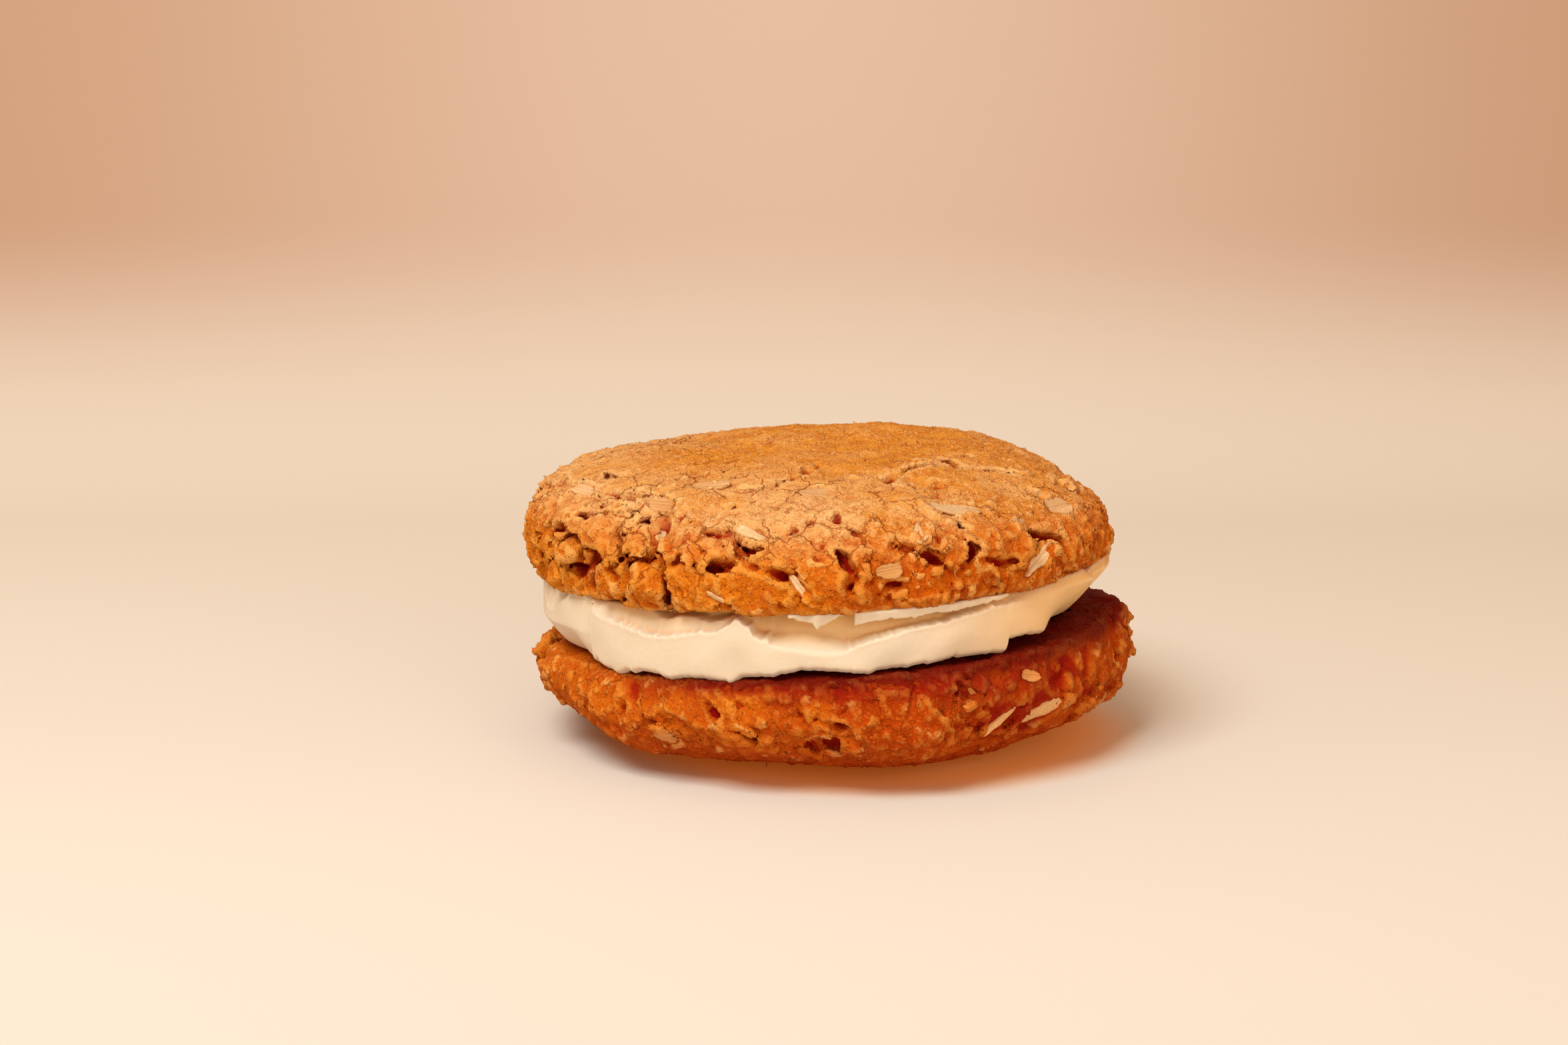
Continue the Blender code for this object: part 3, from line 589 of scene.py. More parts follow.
TOP_SWELLS = (
    (219, 40.2, 4.5, 0.8),
    (247, 47.0, 6.0, 0.8),
    (271, 46.4, 5.5, 0.8),
    (312, 22, 9.0, 0.8),  # low hills and dips of the crown
    (292, 31, 6.0, 0.4),
    (250, 19, 8.0, 0.5),
    (272, 19, 5.0, -0.5),
    (296, 24, 5.0, -0.5),
    (228, 24, 7.0, -0.5),
    (340, 28, 6.0, 0.5),
    (140, 9, 9.0, 0.9),
    (150, 22, 8.0, -0.8),
    (40, 12, 11.0, 0.5),
    (38, 28, 13.0, 0.8),
)
# Where the broken edge of the flat face reaches past it: bearing, degrees, mm.
TOP_EDGE_CHIPS = ((248, 8, 1.0), (232, 4, 0.6), (277, 4, 0.5))
print(len(TOP_CRACKS), "cracks named on the upper cookie")

# %% [markdown]
# The lower cookie lies crown down. Fewer of its cracks show, because most of its crown
# is turned to the table.

# %% Cracks and lumps of the lower cookie
BOTTOM_CRACKS = (
    (((226, 43.2, 0.8), (226.5, 44.6, 1.3), (227, 46, 0.8)), 1.3),
    (((244.9, 46.8, 1.4), (246.5, 44.5, 1.7), (249, 43.2, 1.4), (254, 41.7, 0.8)), 1.4),
    (((266, 45.4, 1.8), (268.5, 44.9, 2.5), (271, 44.6, 1.4)), 1.7),
    (((292, 48.8, 1.8), (293.5, 48.3, 2.0), (298, 46.5, 1.6), (301.5, 44.5, 1.3)), 2.0),
    (((293, 36.5, 2.4), (298, 36.5, 2.2)), 1.8),
    (((315, 46.6, 1.7), (318, 47.2, 1.4), (321, 48, 1.7)), 1.7),
    (((343, 46.5, 1.8),), 1.6),
)
BOTTOM_NUGGETS = (
    (1, 48.6, 2.4, 0.9),
    (186, 48.6, 2.0, 0.9),
)
BOTTOM_EDGE_CHIPS = ((1, 5, 2.0), (186, 4, 1.6), (341, 4, 1.6))
BOTTOM_SWELLS = (
    (226, 41, 14, 1.6),
    (304, 39, 11, -2.0),
    (318, 41, 11, -1.0),
    (249, 41.5, 6.0, 0.7),
    (274, 42.2, 6.0, 0.8),
    (288, 40.6, 6.0, 0.9),
    (309, 46.2, 6.0, 0.8),
)
print(len(BOTTOM_CRACKS), "cracks named on the lower cookie")

# %% [markdown]
# The sides that the photo doesn't show get cracks of the same kind. They are drawn at
# random from a fixed seed, so they come out the same each time.


# %% Cracks for the hidden sides
HIDDEN_BEARINGS = (-14, 198)
HIDDEN_CRACKS = 16
CRACK_LOWEST = 48  # mm of reach; further down a crack would cut the flat face's edge


def wandering_cracks(cookie):
    """Cracks for the sides that the photo doesn't show, like the ones that it does."""
    draw = np.random.default_rng(cookie.seed)
    low, high = HIDDEN_BEARINGS
    cracks = []
    for number in range(HIDDEN_CRACKS):
        bearing = low + (high - low) * (number + draw.random()) / HIDDEN_CRACKS
        reach = draw.uniform(30, 46)
        track = [(bearing, reach, 0.7)]
        for _ in range(draw.integers(2, 6)):
            bearing += draw.uniform(-2, 4.5)
            reach = min(reach + draw.uniform(-2.2, 2.2), CRACK_LOWEST)
            track.append((bearing, reach, draw.uniform(1.1, 2.9)))
        track.append((bearing + 1.5, reach, 0.6))
        cracks.append((tuple(track), draw.uniform(1.4, 3.2)))
    return cracks


print("stations in the hidden cracks:", sum(len(track) for track, _ in wandering_cracks(TOP)))

# %% [markdown]
# ## The two cookies in cubes
#
# The dough is put together from the inside out. First comes the crumb: the smooth form
# with big lumps, small lumps and grain added. Over it lies a crust six tenths of a
# millimetre thick, which is whole on the crown and torn away in patches towards the rim,
# so the patches get real edges. Nuggets, cracks and pits come last, and then everything
# past the plane of the flat face is cut off.


# %% Making the dough
STEP = 0.42  # mm, the side of a little cube
ROOM_ROUND = 2.6  # mm that the block reaches past the smooth form, for lumps
ROOM_PAST_CROWN = 1.8  # mm, over the upper cookie
ROOM_UNDER_FACE = 2.4  # mm, under the upper cookie's face, which leans
ROOM_OVER_FACE = 3.6  # mm, over the lower cookie's face, which leans more
CRUST = 0.6  # mm, how thick the crust is
NEAR_SKIN = 4  # mm from the smooth skin within which lumps are wanted
RIM_REACHES = (27, 40)  # mm of reach between which the smooth crown turns into the rim
TORN_REACHES = (31, 45)  # mm of reach between which the crust gets more and more torn
FACE_FADE = 2.0  # mm of reach over which the relief gets lower towards the flat face
BROKEN_SIDE = 312  # the bearing round which the crust is most broken
BROKEN_SPREAD = (20, 42)  # degrees from it between which that dies out
BROKEN_MORE = 0.9  # how much wider the crust is torn there
PITS_FROM = 14  # mm of reach where the pits begin
PIT_SIZES = (0.25, 0.4)  # mm, the radius of the least pit, and what the largest adds


def dough_block(cookie):
    """The block round a cookie. The lower cookie's stops at the table."""
    half = cookie.radius + ROOM_ROUND
    low, high = -STEP, cookie.face + ROOM_OVER_FACE
    if cookie.side > 0:
        low = cookie.face - ROOM_UNDER_FACE
        high = cookie.girth + cookie.crown + ROOM_PAST_CROWN
    return Block((cookie.middle - half, -half, low), (cookie.middle + half, half, high), STEP)


def cut_pits(cookie, block, field, count):
    """Takes away little balls at random, more of them towards the rim."""
    draw = np.random.default_rng(cookie.seed + 11)
    for _ in range(count):
        at = PITS_FROM + (cookie.edge_reach - PITS_FROM - 1) * draw.random() ** 0.6
        point, up = cookie.place(draw.uniform(0, 360), at)
        size = PIT_SIZES[0] + PIT_SIZES[1] * draw.random() ** 3
        pit(block, field, point - up * draw.uniform(0, 1.0), size)


def cut_face(cookie, block, field, bearing, radius, chips):
    """Cuts the dough off at its flat face, and lets the broken edge reach a bit past it."""
    x, _, z = block.axes
    past = 0.15 + 0.30 * soft_noise(block, 2.4, cookie.seed + 13)
    for middle, spread, depth in chips:
        past += depth * (1 - ease(turn_between(bearing, middle), 0.4 * spread, spread))
    past *= ease(radius, cookie.face_radius - 2.0, cookie.face_radius - 0.4)
    return np.maximum(field, cookie.side * (cookie.face_height(x) - z) - past)


def make_dough(cookie, cracks, nuggets, swells, chips, torn, lump_size, crumb_size,
               uneven, pits, gritty):
    """The cookie's block, its field, and the smooth form and reach that its finish needs."""
    block = dough_block(cookie)
    smooth, reach, bearing, radius = smooth_form(cookie, block)
    near_skin = np.abs(smooth) < NEAR_SKIN
    rim = ease(reach, *RIM_REACHES)
    seed = cookie.seed

    # Noises from a cube's size up, which roughen everything below.
    fine = soft_noise(block, 1.0, seed + 9)
    shift = [0.9 * a + 0.13 * np.roll(fine, 9 * axis, axis)
             for axis, a in enumerate(wobble(block, 2.3, 0.38, seed))]
    grit = 0.5 * fine + 0.7 * sand_noise(block, seed + 12)
    rough = 0.16 * soft_noise(block, 1.5, seed + 7) + 0.15 * grit

    # Lumps: each is highest in its middle and has a groove round it.
    first, second, own = lumps(block, near_skin, lump_size, shift, seed + 3)
    big = 0.5 - first**2 + 0.5 * own
    big_groove = 1 - ease(second - first + 0.3 * rough, 0.0, 0.2)
    first, second, own = lumps(block, near_skin, crumb_size, shift, seed + 4)
    small = 0.5 - first**2 + 0.7 * own
    small_groove = 1 - ease(second - first, 0.0, 0.35)

    # How far the dough stands out of the smooth form, before its crust: broad swellings,
    # and lumps whose grooves are deep in some places and shallow in others.
    deep = ease(soft_noise(block, 8, seed + 5), -0.2, 1.4)
    stand = 0.34 * soft_noise(block, 13, seed + 6)
    stand += (0.28 + 0.72 * rim) * (0.7 * big - (0.12 + 0.6 * deep) * big_groove)
    for sizes in swells:
        swell_up(cookie, block, stand, *sizes)

    # The crust, the crumb under it, and the edge where the crust is torn away. The
    # relief of both gets lower towards the flat face.
    patch = soft_noise(block, 5.0, seed + 8) + 0.4 * fine
    broken = torn + BROKEN_MORE * (1 - ease(np.abs(bearing - BROKEN_SIDE), *BROKEN_SPREAD))
    edge = 1.1 * (patch + 2.9 - broken * ease(reach, *TORN_REACHES))
    fade = 1 - 0.7 * ease(reach, cookie.edge_reach - FACE_FADE, cookie.edge_reach - 0.2)
    crust = smooth - fade * (stand + (0.08 + 0.16 * rim) * small
                             - 0.15 * rim * small_groove - (0.3 + 0.2 * rim) * rough)
    crumb = stand - CRUST + uneven * (small - small_groove) + 1.4 * rough
    field = np.minimum(smooth - fade * crumb, np.maximum(crust, -edge))

    for sizes in nuggets:
        press_in(cookie, block, field, shift, rough, *sizes)
    rubble = 1.7 * rough + 0.3 * (small - 0.2)
    for track, depth in (*cracks, *wandering_cracks(cookie)):
        carve(cookie, block, field, shift, rubble, track, depth)
    field += gritty * (0.3 + 0.7 * rim + ease(-smooth, 0.5, 1.6)) * grit
    cut_pits(cookie, block, field, pits)
    field = cut_face(cookie, block, field, bearing, radius, chips)
    field = np.maximum(field, -block.axes[2])
    return block, field.astype(np.float32), smooth, reach


for cookie in (TOP, BOTTOM):
    print(cookie.node, "takes", math.prod(dough_block(cookie).shape), "corners")

# %% [markdown]
# A skin knows only where it is. For the finish each of its points also keeps four
# numbers: how much open air is near it, how much further off, how deep it lies under the
# smooth form, and its reach. Open air is measured by blurring the block, with 1 for
# dough and 0 for air, and reading the blurred value at the point.
#
# The middle of a flat face is hidden under the cream, so its small faces are taken away
# and one plain face closes the opening. That leaves more triangles for what shows.


# %% From the block to a mesh
NEAR_AIR = 0.8  # mm either way over which a block is blurred
FAR_AIR = 2.6
JITTER = 0.16  # of a cube, to break up the rows that cubes leave in a skin
HIDDEN_RADIUS = 34.5  # mm from the middle within which the flat face never shows
ON_FACE = 0.3  # mm from the flat face that still counts as on it


def blurred(values, radius, step):
    """A block's values, each averaged with its neighbours within that radius."""
    reach = max(1, round(radius / step))
    for axis in range(3):
        moved = np.moveaxis(values, axis, 0)
        padded = np.concatenate([np.repeat(moved[:1], reach + 1, 0), moved,
                                 np.repeat(moved[-1:], reach, 0)])
        total = np.cumsum(padded, 0, dtype=np.float32)
        moved = (total[2 * reach + 1:] - total[:-2 * reach - 1]) / (2 * reach + 1)
        values = np.moveaxis(moved, 0, axis)
    return values


def fields_at(block, field, points):
    """A field's value at each point of a skin, from the nearest corners of the cubes."""
    cell = np.clip(points.astype(int), 0, np.array(block.shape) - 2)
    part = (points - cell).astype(np.float32)
    total = 0
    for i, j, k in np.ndindex(2, 2, 2):
        weight = (np.abs(1 - i - part[:, 0]) * np.abs(1 - j - part[:, 1])
                  * np.abs(1 - k - part[:, 2]))
        total = total + weight * field[cell[:, 0] + i, cell[:, 1] + j, cell[:, 2] + k]
    return total


def without_scraps(count, quads):
    """Marks the points of the one big body, leaving out specks that float free."""
    label = np.arange(count)
    while True:
        lowest = label[quads].min(1)
        after = label.copy()
        for corner in range(4):
            np.minimum.at(after, quads[:, corner], lowest)
        after = after[after]
        if (after == label).all():
            return label == np.bincount(label).argmax()
        label = after


def new_piece(name, points, quads, values):
    """A smooth-shaded mesh object in metres, with a number of each kind on every point."""
    used = np.zeros(len(points), bool)
    used[quads] = True
    number = np.cumsum(used) - 1
    mesh = bpy.data.meshes.new(name)
    mesh.from_pydata((points[used] * MM).tolist(), [], number[quads].tolist())
    for label, numbers in values.items():
        layer = mesh.attributes.new(label, "FLOAT", "POINT")
        layer.data.foreach_set("value", np.ascontiguousarray(numbers[used], np.float32))
    mesh.shade_smooth()
    piece = bpy.data.objects.new(name, mesh)
    bpy.context.scene.collection.objects.link(piece)
    return piece


def rework(piece, change):
    """Hands a piece's mesh to a function that changes it."""
    work = bmesh.new()
    work.from_mesh(piece.data)
    change(work)
    work.to_mesh(piece.data)
    work.free()


def skin_piece(name, points, quads, values):
    """The one big body of a skin as a piece, with the opening in its hidden part closed."""
    keep = without_scraps(len(points), quads)
    piece = new_piece(name, points, quads[keep[quads[:, 0]]], values)
    rework(piece, lambda work: bmesh.ops.holes_fill(
        work, edges=[edge for edge in work.edges if edge.is_boundary], sides=0))
    return piece


def bake_cookie(name, cookie, block, field, smooth, reach):
    """The cookie's skin as a piece, with how open and how deep each point lies."""
    points, quads = wrap_skin(field)
    points += JITTER * np.random.default_rng(cookie.seed).standard_normal(points.shape)
    place = points * block.step + block.low
    solid = np.clip(0.5 - field / block.step, 0, 1)
    x, y, z = place.T
    hidden = np.hypot(x - cookie.middle, y) < HIDDEN_RADIUS
    hidden &= np.abs(z - cookie.face_height(x)) < ON_FACE
    quads = quads[~hidden[quads].all(1)]
    return skin_piece(name, place, quads, {
        "open_near": 1 - fields_at(block, blurred(solid, NEAR_AIR, block.step), points),
        "open_far": 1 - fields_at(block, blurred(solid, FAR_AIR, block.step), points),
        "under": -fields_at(block, smooth, points),
        "reach": fields_at(block, reach, points),
    })


print("blurred over", round(NEAR_AIR / STEP), "and", round(FAR_AIR / STEP), "cubes either way")

# %% [markdown]
# ## Rolled oats
#
# A rolled oat is an oval flake half a millimetre thick, with a crease along its middle
# and frayed ends. Each one here is a real two-sided mesh. Where a flake lies, the dough
# is pressed flat to it before the dough's skin is wrapped, as it would be round a real
# flake, so no flake floats and none is swallowed.
#
# The flakes that the photo shows are named one by one. The rest are drawn at random and
# kept clear of each other.

# %% Where the oats lie
# Bearing, reach, length, width, turn, tilt and how toasted. The turn is in degrees from
# the way round the cookie and lifts the right end as seen from outside; the tilt lifts
# the upper edge. A flake toasted by 1 is as brown as the dough.
TOP_OATS = (
    (255.6, 37.6, 4.6, 2.2, -24, -16, 0.0),  # the chip over the gaping crack
    (301, 33.6, 7.4, 3.2, -10, 4, 0.3),  # the big pale one on the right
    (289.5, 38.2, 3.6, 1.8, 74, 8, 0.15),  # the small upright one
    (331.5, 36.8, 5.0, 3.6, -8, 4, 0.5),
    (314, 38.2, 3.2, 2.2, 0, 0, 0.3),
    (315.6, 43.8, 7.0, 1.9, 30, -26, 0.1),  # the curled one at the rim
    (282, 43.1, 3.6, 2.0, 8, 6, 0.6),
    (265.6, 45.4, 4.2, 1.2, -50, -40, 0.1),  # seen from its edge
    (249.6, 46.6, 2.8, 1.0, -26, 8, 0.1),
    (268, 27.4, 4.6, 2.8, 10, 3, 0.7),
    (236.7, 26.9, 6.0, 2.8, 0, 4, 0.6),
    (228.8, 33.5, 5.2, 2.6, 20, 8, 0.6),
    (233.4, 37.4, 4.2, 1.8, -52, -35, 0.2),
    (203.5, 34.6, 4.8, 2.4, 24, 16, 0.5),
)
BOTTOM_OATS = (
    (304.0, 41.8, 7.4, 1.5, 24, -14, 0.0),
    (314.6, 41.5, 7.9, 2.4, 32, -14, 0.2),
    (296.4, 47.2, 2.8, 1.0, -62, 6, 0.7),
    (308.6, 48.2, 3.0, 1.6, -14, 6, 0.6),
    (236, 40.4, 4.4, 3.0, -30, 4, 0.7),
)
OAT_LENGTHS = (4.4, 8.0)  # mm, of the flakes drawn at random
OAT_BEARINGS = (12, 168)  # the sides that the photo doesn't show
OAT_REACHES = (37, 47)
OAT_CLEARANCE = 1.2  # mm between two flakes
OAT_THICKNESS = 0.55
OAT_SUNK = 0.2  # mm that a flake's middle lies in the dough


def find_skin(block, field, point, up):
    """The place where a line along up comes out of the dough, in a block's field."""
    away = np.arange(2.6, -3.0, -0.1)  # mm, from well outside to well inside
    places = np.array(point) + away[:, None] * np.array(up)
    index = np.rint((places - block.low) / block.step).astype(int)
    index = np.clip(index, 0, np.array(block.shape) - 1)
    inside = field[tuple(index.T)] < 0
    return point + up * float(away[inside.argmax()] if inside.any() else -1.0)


def seat(cookie, block, field, bearing, reach, length, width, turn, tilt):
    """The matrix that lays a flake on the dough: its length, its width and outwards."""
    point, up = cookie.place(bearing, reach)
    angle = math.radians(bearing)
    along = Vector((-math.sin(angle), math.cos(angle), 0))
    climb = up.cross(along)
    spin = math.radians(turn)
    level = along * math.cos(spin) + climb * math.sin(spin)
    aside = up.cross(level)
    ends = [find_skin(block, field, point + level * a * length + aside * b * width, up)
            for a, b in ((0.3, 0), (-0.3, 0), (0, 0.3), (0, -0.3), (0, 0))]
    lengthwise = (ends[0] - ends[1]).normalized()
    outwards = lengthwise.cross((ends[2] - ends[3]).normalized()).normalized()
    if outwards.dot(up) < 0.8:  # the dough is too steep here to lie on
        lengthwise, outwards = level, up
    sideways = outwards.cross(lengthwise).normalized()
    axes = Matrix((lengthwise, sideways, outwards)).transposed().to_4x4()
    middle = sum(ends, Vector()) / len(ends)
    return (Matrix.Translation(middle - outwards * OAT_SUNK) @ axes
            @ Matrix.Rotation(math.radians(tilt), 4, "X"))


def lay_oats(cookie, block, field, named, scattered):
    """Matrices and sizes of the named flakes and of random ones that fit between them."""
    draw = np.random.default_rng(cookie.seed + 20)
    laid = [(seat(cookie, block, field, *sizes), *sizes[2:4], toasted)
            for *sizes, toasted in named]
    while len(laid) < len(named) + scattered:
        length = draw.uniform(*OAT_LENGTHS)
        bearing, reach = draw.uniform(*OAT_BEARINGS), draw.uniform(*OAT_REACHES)
        width = length * draw.uniform(0.5, 0.72)
        turn, tilt = draw.uniform(-90, 90), draw.uniform(-8, 8)
        middle = cookie.place(bearing, reach)[0]
        if all((other.translation - middle).length >= (length + its_length) / 2 + OAT_CLEARANCE
               for other, its_length, *_ in laid):
            place = seat(cookie, block, field, bearing, reach, length, width, turn, tilt)
            laid.append((place, length, width, draw.uniform(0.3, 1)))
    return laid


def press_dough(block, field, cover, place, length, width, toasted):
    """Packs the dough under a flake, clears what lies on it, and laps bits over its rim.

    Over the most toasted flakes the dough comes in many places, over pale ones in few.
    In the flake's own axes, rho is 1 at its rim.
    """
    sunk = 0.3 + 0.7 * toasted
    part = block.near(place.translation, length / 2 + 1.5)
    spot = offsets(block, part, place.translation)
    local = [sum(place[row][axis] * spot[row] for row in range(3)) for axis in range(3)]
    rho = np.sqrt((local[0] / (length / 2)) ** 2 + (local[1] / (width / 2)) ** 2)
    lap = cover[part]
    inward = (1.04 - rho - 0.16 * sunk * lap) * width / 2
    above = np.minimum(inward, local[2] + 0.12)
    under = np.maximum((rho - 1.1) * width / 2, np.abs(local[2] + 0.9) - 0.75)
    collar = np.maximum(np.abs(rho - 1.02) * width / 2 - 0.5, np.abs(local[2] - 0.05) - 0.42)
    field[part] = np.minimum(np.maximum(field[part], above), under)
    field[part] = np.minimum(field[part], collar + 0.45 * np.maximum(lap + 1.5 - sunk, -0.4))


print(len(TOP_OATS) + len(BOTTOM_OATS), "oats named")

# %% [markdown]
# The mesh of a flake is a grid of points, squeezed to an oval and given a top and an
# underside that meet at the rim. Its cup, curl, crease and frayed rim all differ a
# little from flake to flake. The grid is fine enough for the crease to be real geometry.


# %% The mesh of the oats
OAT_ROWS, OAT_COLUMNS = 18, 10


def oat(length, width, draw):
    """Points and faces of one rolled oat, and how far out and across each point is.

    On the grid u runs from -1 to 1 along the flake and v across it.
    """
    u, v = np.meshgrid(
        np.cos(np.linspace(math.pi, 0, OAT_ROWS + 1)),
        np.sin(np.linspace(-math.pi / 2, math.pi / 2, OAT_COLUMNS + 1)), indexing="ij")
    bluntness = draw.uniform(1.8, 2.6)
    half = (1 - np.abs(u) ** bluntness) ** (1 / bluntness)
    fray = 1 + 0.07 * draw.standard_normal(u.shape) * (np.abs(v) > 0.95)
    for lobes in range(2, 6):
        fray = fray + 0.05 * draw.standard_normal() * np.cos(lobes * u + 2 * v + 6 * draw.random())
    x = u * length / 2 * (1 + 0.04 * draw.standard_normal() * v)
    for side in (-1, 1, draw.choice((-1, 1))):
        bite = draw.uniform(0.05, 0.3) * np.exp(-((u - draw.uniform(-0.8, 0.8)) / 0.16) ** 2)
        fray = fray - bite * (v * side > 0)
    y = v * half * width / 2 * fray * (1 + 0.10 * draw.standard_normal() * u)
    rho = np.maximum(np.abs(u), np.abs(v))
    body = OAT_THICKNESS * (1 - rho**6)
    crease = 0.16 * np.exp(-(y / 0.28) ** 2) * (1 - u**4)
    cup = draw.uniform(-0.25, 0.35) * v**2 + draw.uniform(-0.35, 0.45) * u**2
    cup = cup + draw.uniform(-0.4, 0.4) * u * v
    wave = 0.05 * np.sin(draw.uniform(5, 9) * y + 3 * u + draw.uniform(0, 6))
    top = np.stack([x, y, cup + body / 2 - crease + wave * (1 - rho**4)], -1)
    under = np.stack([x, y, cup - body / 2], -1)
    number = np.arange(rho.size)
    below = np.where(rho.ravel() > 0.999, number, rho.size + number)
    across = OAT_COLUMNS + 1
    cell = (np.arange(OAT_ROWS)[:, None] * across + np.arange(OAT_COLUMNS)).ravel()
    quads = np.stack([cell, cell + across, cell + across + 1, cell + 1], 1)
    faces = np.concatenate([quads, below[quads[:, ::-1]]])
    points = np.concatenate([top.reshape(-1, 3), under.reshape(-1, 3)])
    return points, faces, np.tile(rho.ravel(), 2), np.tile(y.ravel(), 2)


def oats_piece(name, cookie, laid):
    """All the flakes of one cookie, joined."""
    draw = np.random.default_rng(cookie.seed + 30)
    parts = []
    total = 0
    for place, length, width, toasted in laid:
        points, faces, rho, across = oat(length, width, draw)
        turned = points @ np.array(place.to_3x3()).T + np.array(place.translation)
        parts.append((turned, faces + total, rho, across, np.full(len(points), toasted)))
        total += len(points)
    points, faces, rho, across, own = (np.concatenate(kind) for kind in zip(*parts))
    piece = new_piece(name, points, faces, {"rim": rho, "across": across, "own": own})
    rework(piece, lambda work: bmesh.ops.dissolve_degenerate(
        work, edges=work.edges, dist=0.002 * MM))
    return piece


print("a flake has", 2 * OAT_ROWS * OAT_COLUMNS, "faces")

# %% [markdown]
# Now both cookies can be made. The lower one has a coarser crumb, and more of its crust
# is torn away. A flake that comes out too near the table is dropped, because it would go
# through it.


# %% The two cookies and their oats
LOWEST_OAT = 1.5  # mm over the table
LAP_SIZE = 1.3  # mm, the bits of dough that come over a flake's rim


def make_cookie(cookie, oats, scattered, lap_seed, **recipe):
    """The pieces of a cookie: its dough and its oats."""
    block, field, smooth, reach = make_dough(cookie, **recipe)
    laid = [flake for flake in lay_oats(cookie, block, field, oats, scattered)
            if flake[0].translation.z > LOWEST_OAT]
    cover = soft_noise(block, LAP_SIZE, lap_seed)
    for flake in laid:
        press_dough(block, field, cover, *flake)
    crumb = bake_cookie(cookie.node + "_crumb", cookie, block, field, smooth, reach)
    flakes = oats_piece(cookie.node + "_oats", cookie, laid)
    print(cookie.node, "has", len(crumb.data.polygons), "faces and", len(laid), "oats")
    return crumb, flakes


top_crumb, top_oats = make_cookie(
    TOP, TOP_OATS, scattered=9, lap_seed=61, cracks=TOP_CRACKS, nuggets=TOP_NUGGETS,
    swells=TOP_SWELLS, chips=TOP_EDGE_CHIPS, torn=2.3, lump_size=6.5, crumb_size=1.6,
    uneven=0.40, pits=280, gritty=0.12)
bottom_crumb, bottom_oats = make_cookie(
    BOTTOM, BOTTOM_OATS, scattered=7, lap_seed=62, cracks=BOTTOM_CRACKS,
    nuggets=BOTTOM_NUGGETS, swells=BOTTOM_SWELLS, chips=BOTTOM_EDGE_CHIPS, torn=3.4,
    lump_size=7.5, crumb_size=2.5, uneven=0.3, pits=170, gritty=0.08)

# %% [markdown]
# ## The cream
#
# The cream was spread with a knife and squeezed when the upper cookie went on. Seen from
# the side it is a band with layers: a broad face, a torn edge along the top of it, a
# scooped hollow under the upper cookie, and thin skirts of cream that hang there.
#
# It is built in cubes too, but the block is bent round into a ring: the first axis is
# the bearing, the second the share of the height between the two cookies, and the third
# the radius. In such a block the band is a landscape of radius over bearing and height,
# and the skirts are thin walls in front of it.


# %% The edges of the cream
CREAM_MIDDLE = -0.9  # X of its middle
CREAM_CREST = 38.5  # mm, radius of the broad face
CREAM_HEIGHT = 8.1  # mm between the two flat faces at their middles
CREAM_INNER = 32.0  # radius where the band passes into the hidden middle
CREAM_OUTER = 41.5  # radius where the ring block ends, outside all the cream
CREAM_STEP = 0.23  # mm
CREAM_TURNS = 1100  # steps of bearing round the ring
RECESS_SLOPE = 1.0  # mm that the hollow deepens on its way up to the upper cookie

# Stations of bearing, share of the height, depth of the ledge in mm, and softness.
CREAM_EDGE = (
    (205, 1.02, 0.2, 0.10), (214, 0.97, 0.3, 0.08), (218, 0.82, 0.25, 0.06),
    (222, 0.78, 0.4, 0.03), (225.5, 0.73, 0.6, 0.02), (228.3, 0.71, 0.7, 0.02),
    (232, 0.65, 0.8, 0.02), (236, 0.65, 0.8, 0.02), (239, 0.67, 0.7, 0.02),
    (242.3, 0.71, 0.6, 0.02), (244.3, 0.73, 0.5, 0.02), (244.9, 0.79, 0.5, 0.02),
    (245.6, 0.72, 0.5, 0.02), (248.4, 0.76, 0.4, 0.03), (250, 0.84, 0.7, 0.03),
    (252.1, 0.97, 1.3, 0.02), (253.5, 0.87, 1.7, 0.02), (254.5, 0.79, 1.9, 0.02),
    (255.5, 0.70, 2.0, 0.03), (258.2, 0.61, 2.1, 0.06), (261.6, 0.58, 2.1, 0.12),
    (265, 0.55, 2.2, 0.16), (270, 0.50, 2.2, 0.16), (273.6, 0.47, 2.2, 0.08),
    (276.2, 0.54, 2.2, 0.03), (280.6, 0.61, 2.1, 0.02), (285, 0.68, 2.0, 0.02),
    (291.5, 0.73, 1.8, 0.02), (296.8, 0.80, 1.5, 0.02), (302, 0.83, 1.1, 0.04),
    (307, 0.86, 0.8, 0.06), (314, 0.92, 0.4, 0.08), (325, 0.97, 0.2, 0.10),
    (334, 1.02, 0.2, 0.10),
)
# Stations of bearing and share where the hollow behind the second lip begins.
CREAM_SECOND = (
    (229, 1.10), (234, 0.90), (236, 0.87), (238.3, 0.92), (240.5, 0.94), (243.2, 0.93),
    (246, 0.89), (249, 0.92), (251, 0.98), (252.3, 1.05), (254, 1.1),
)
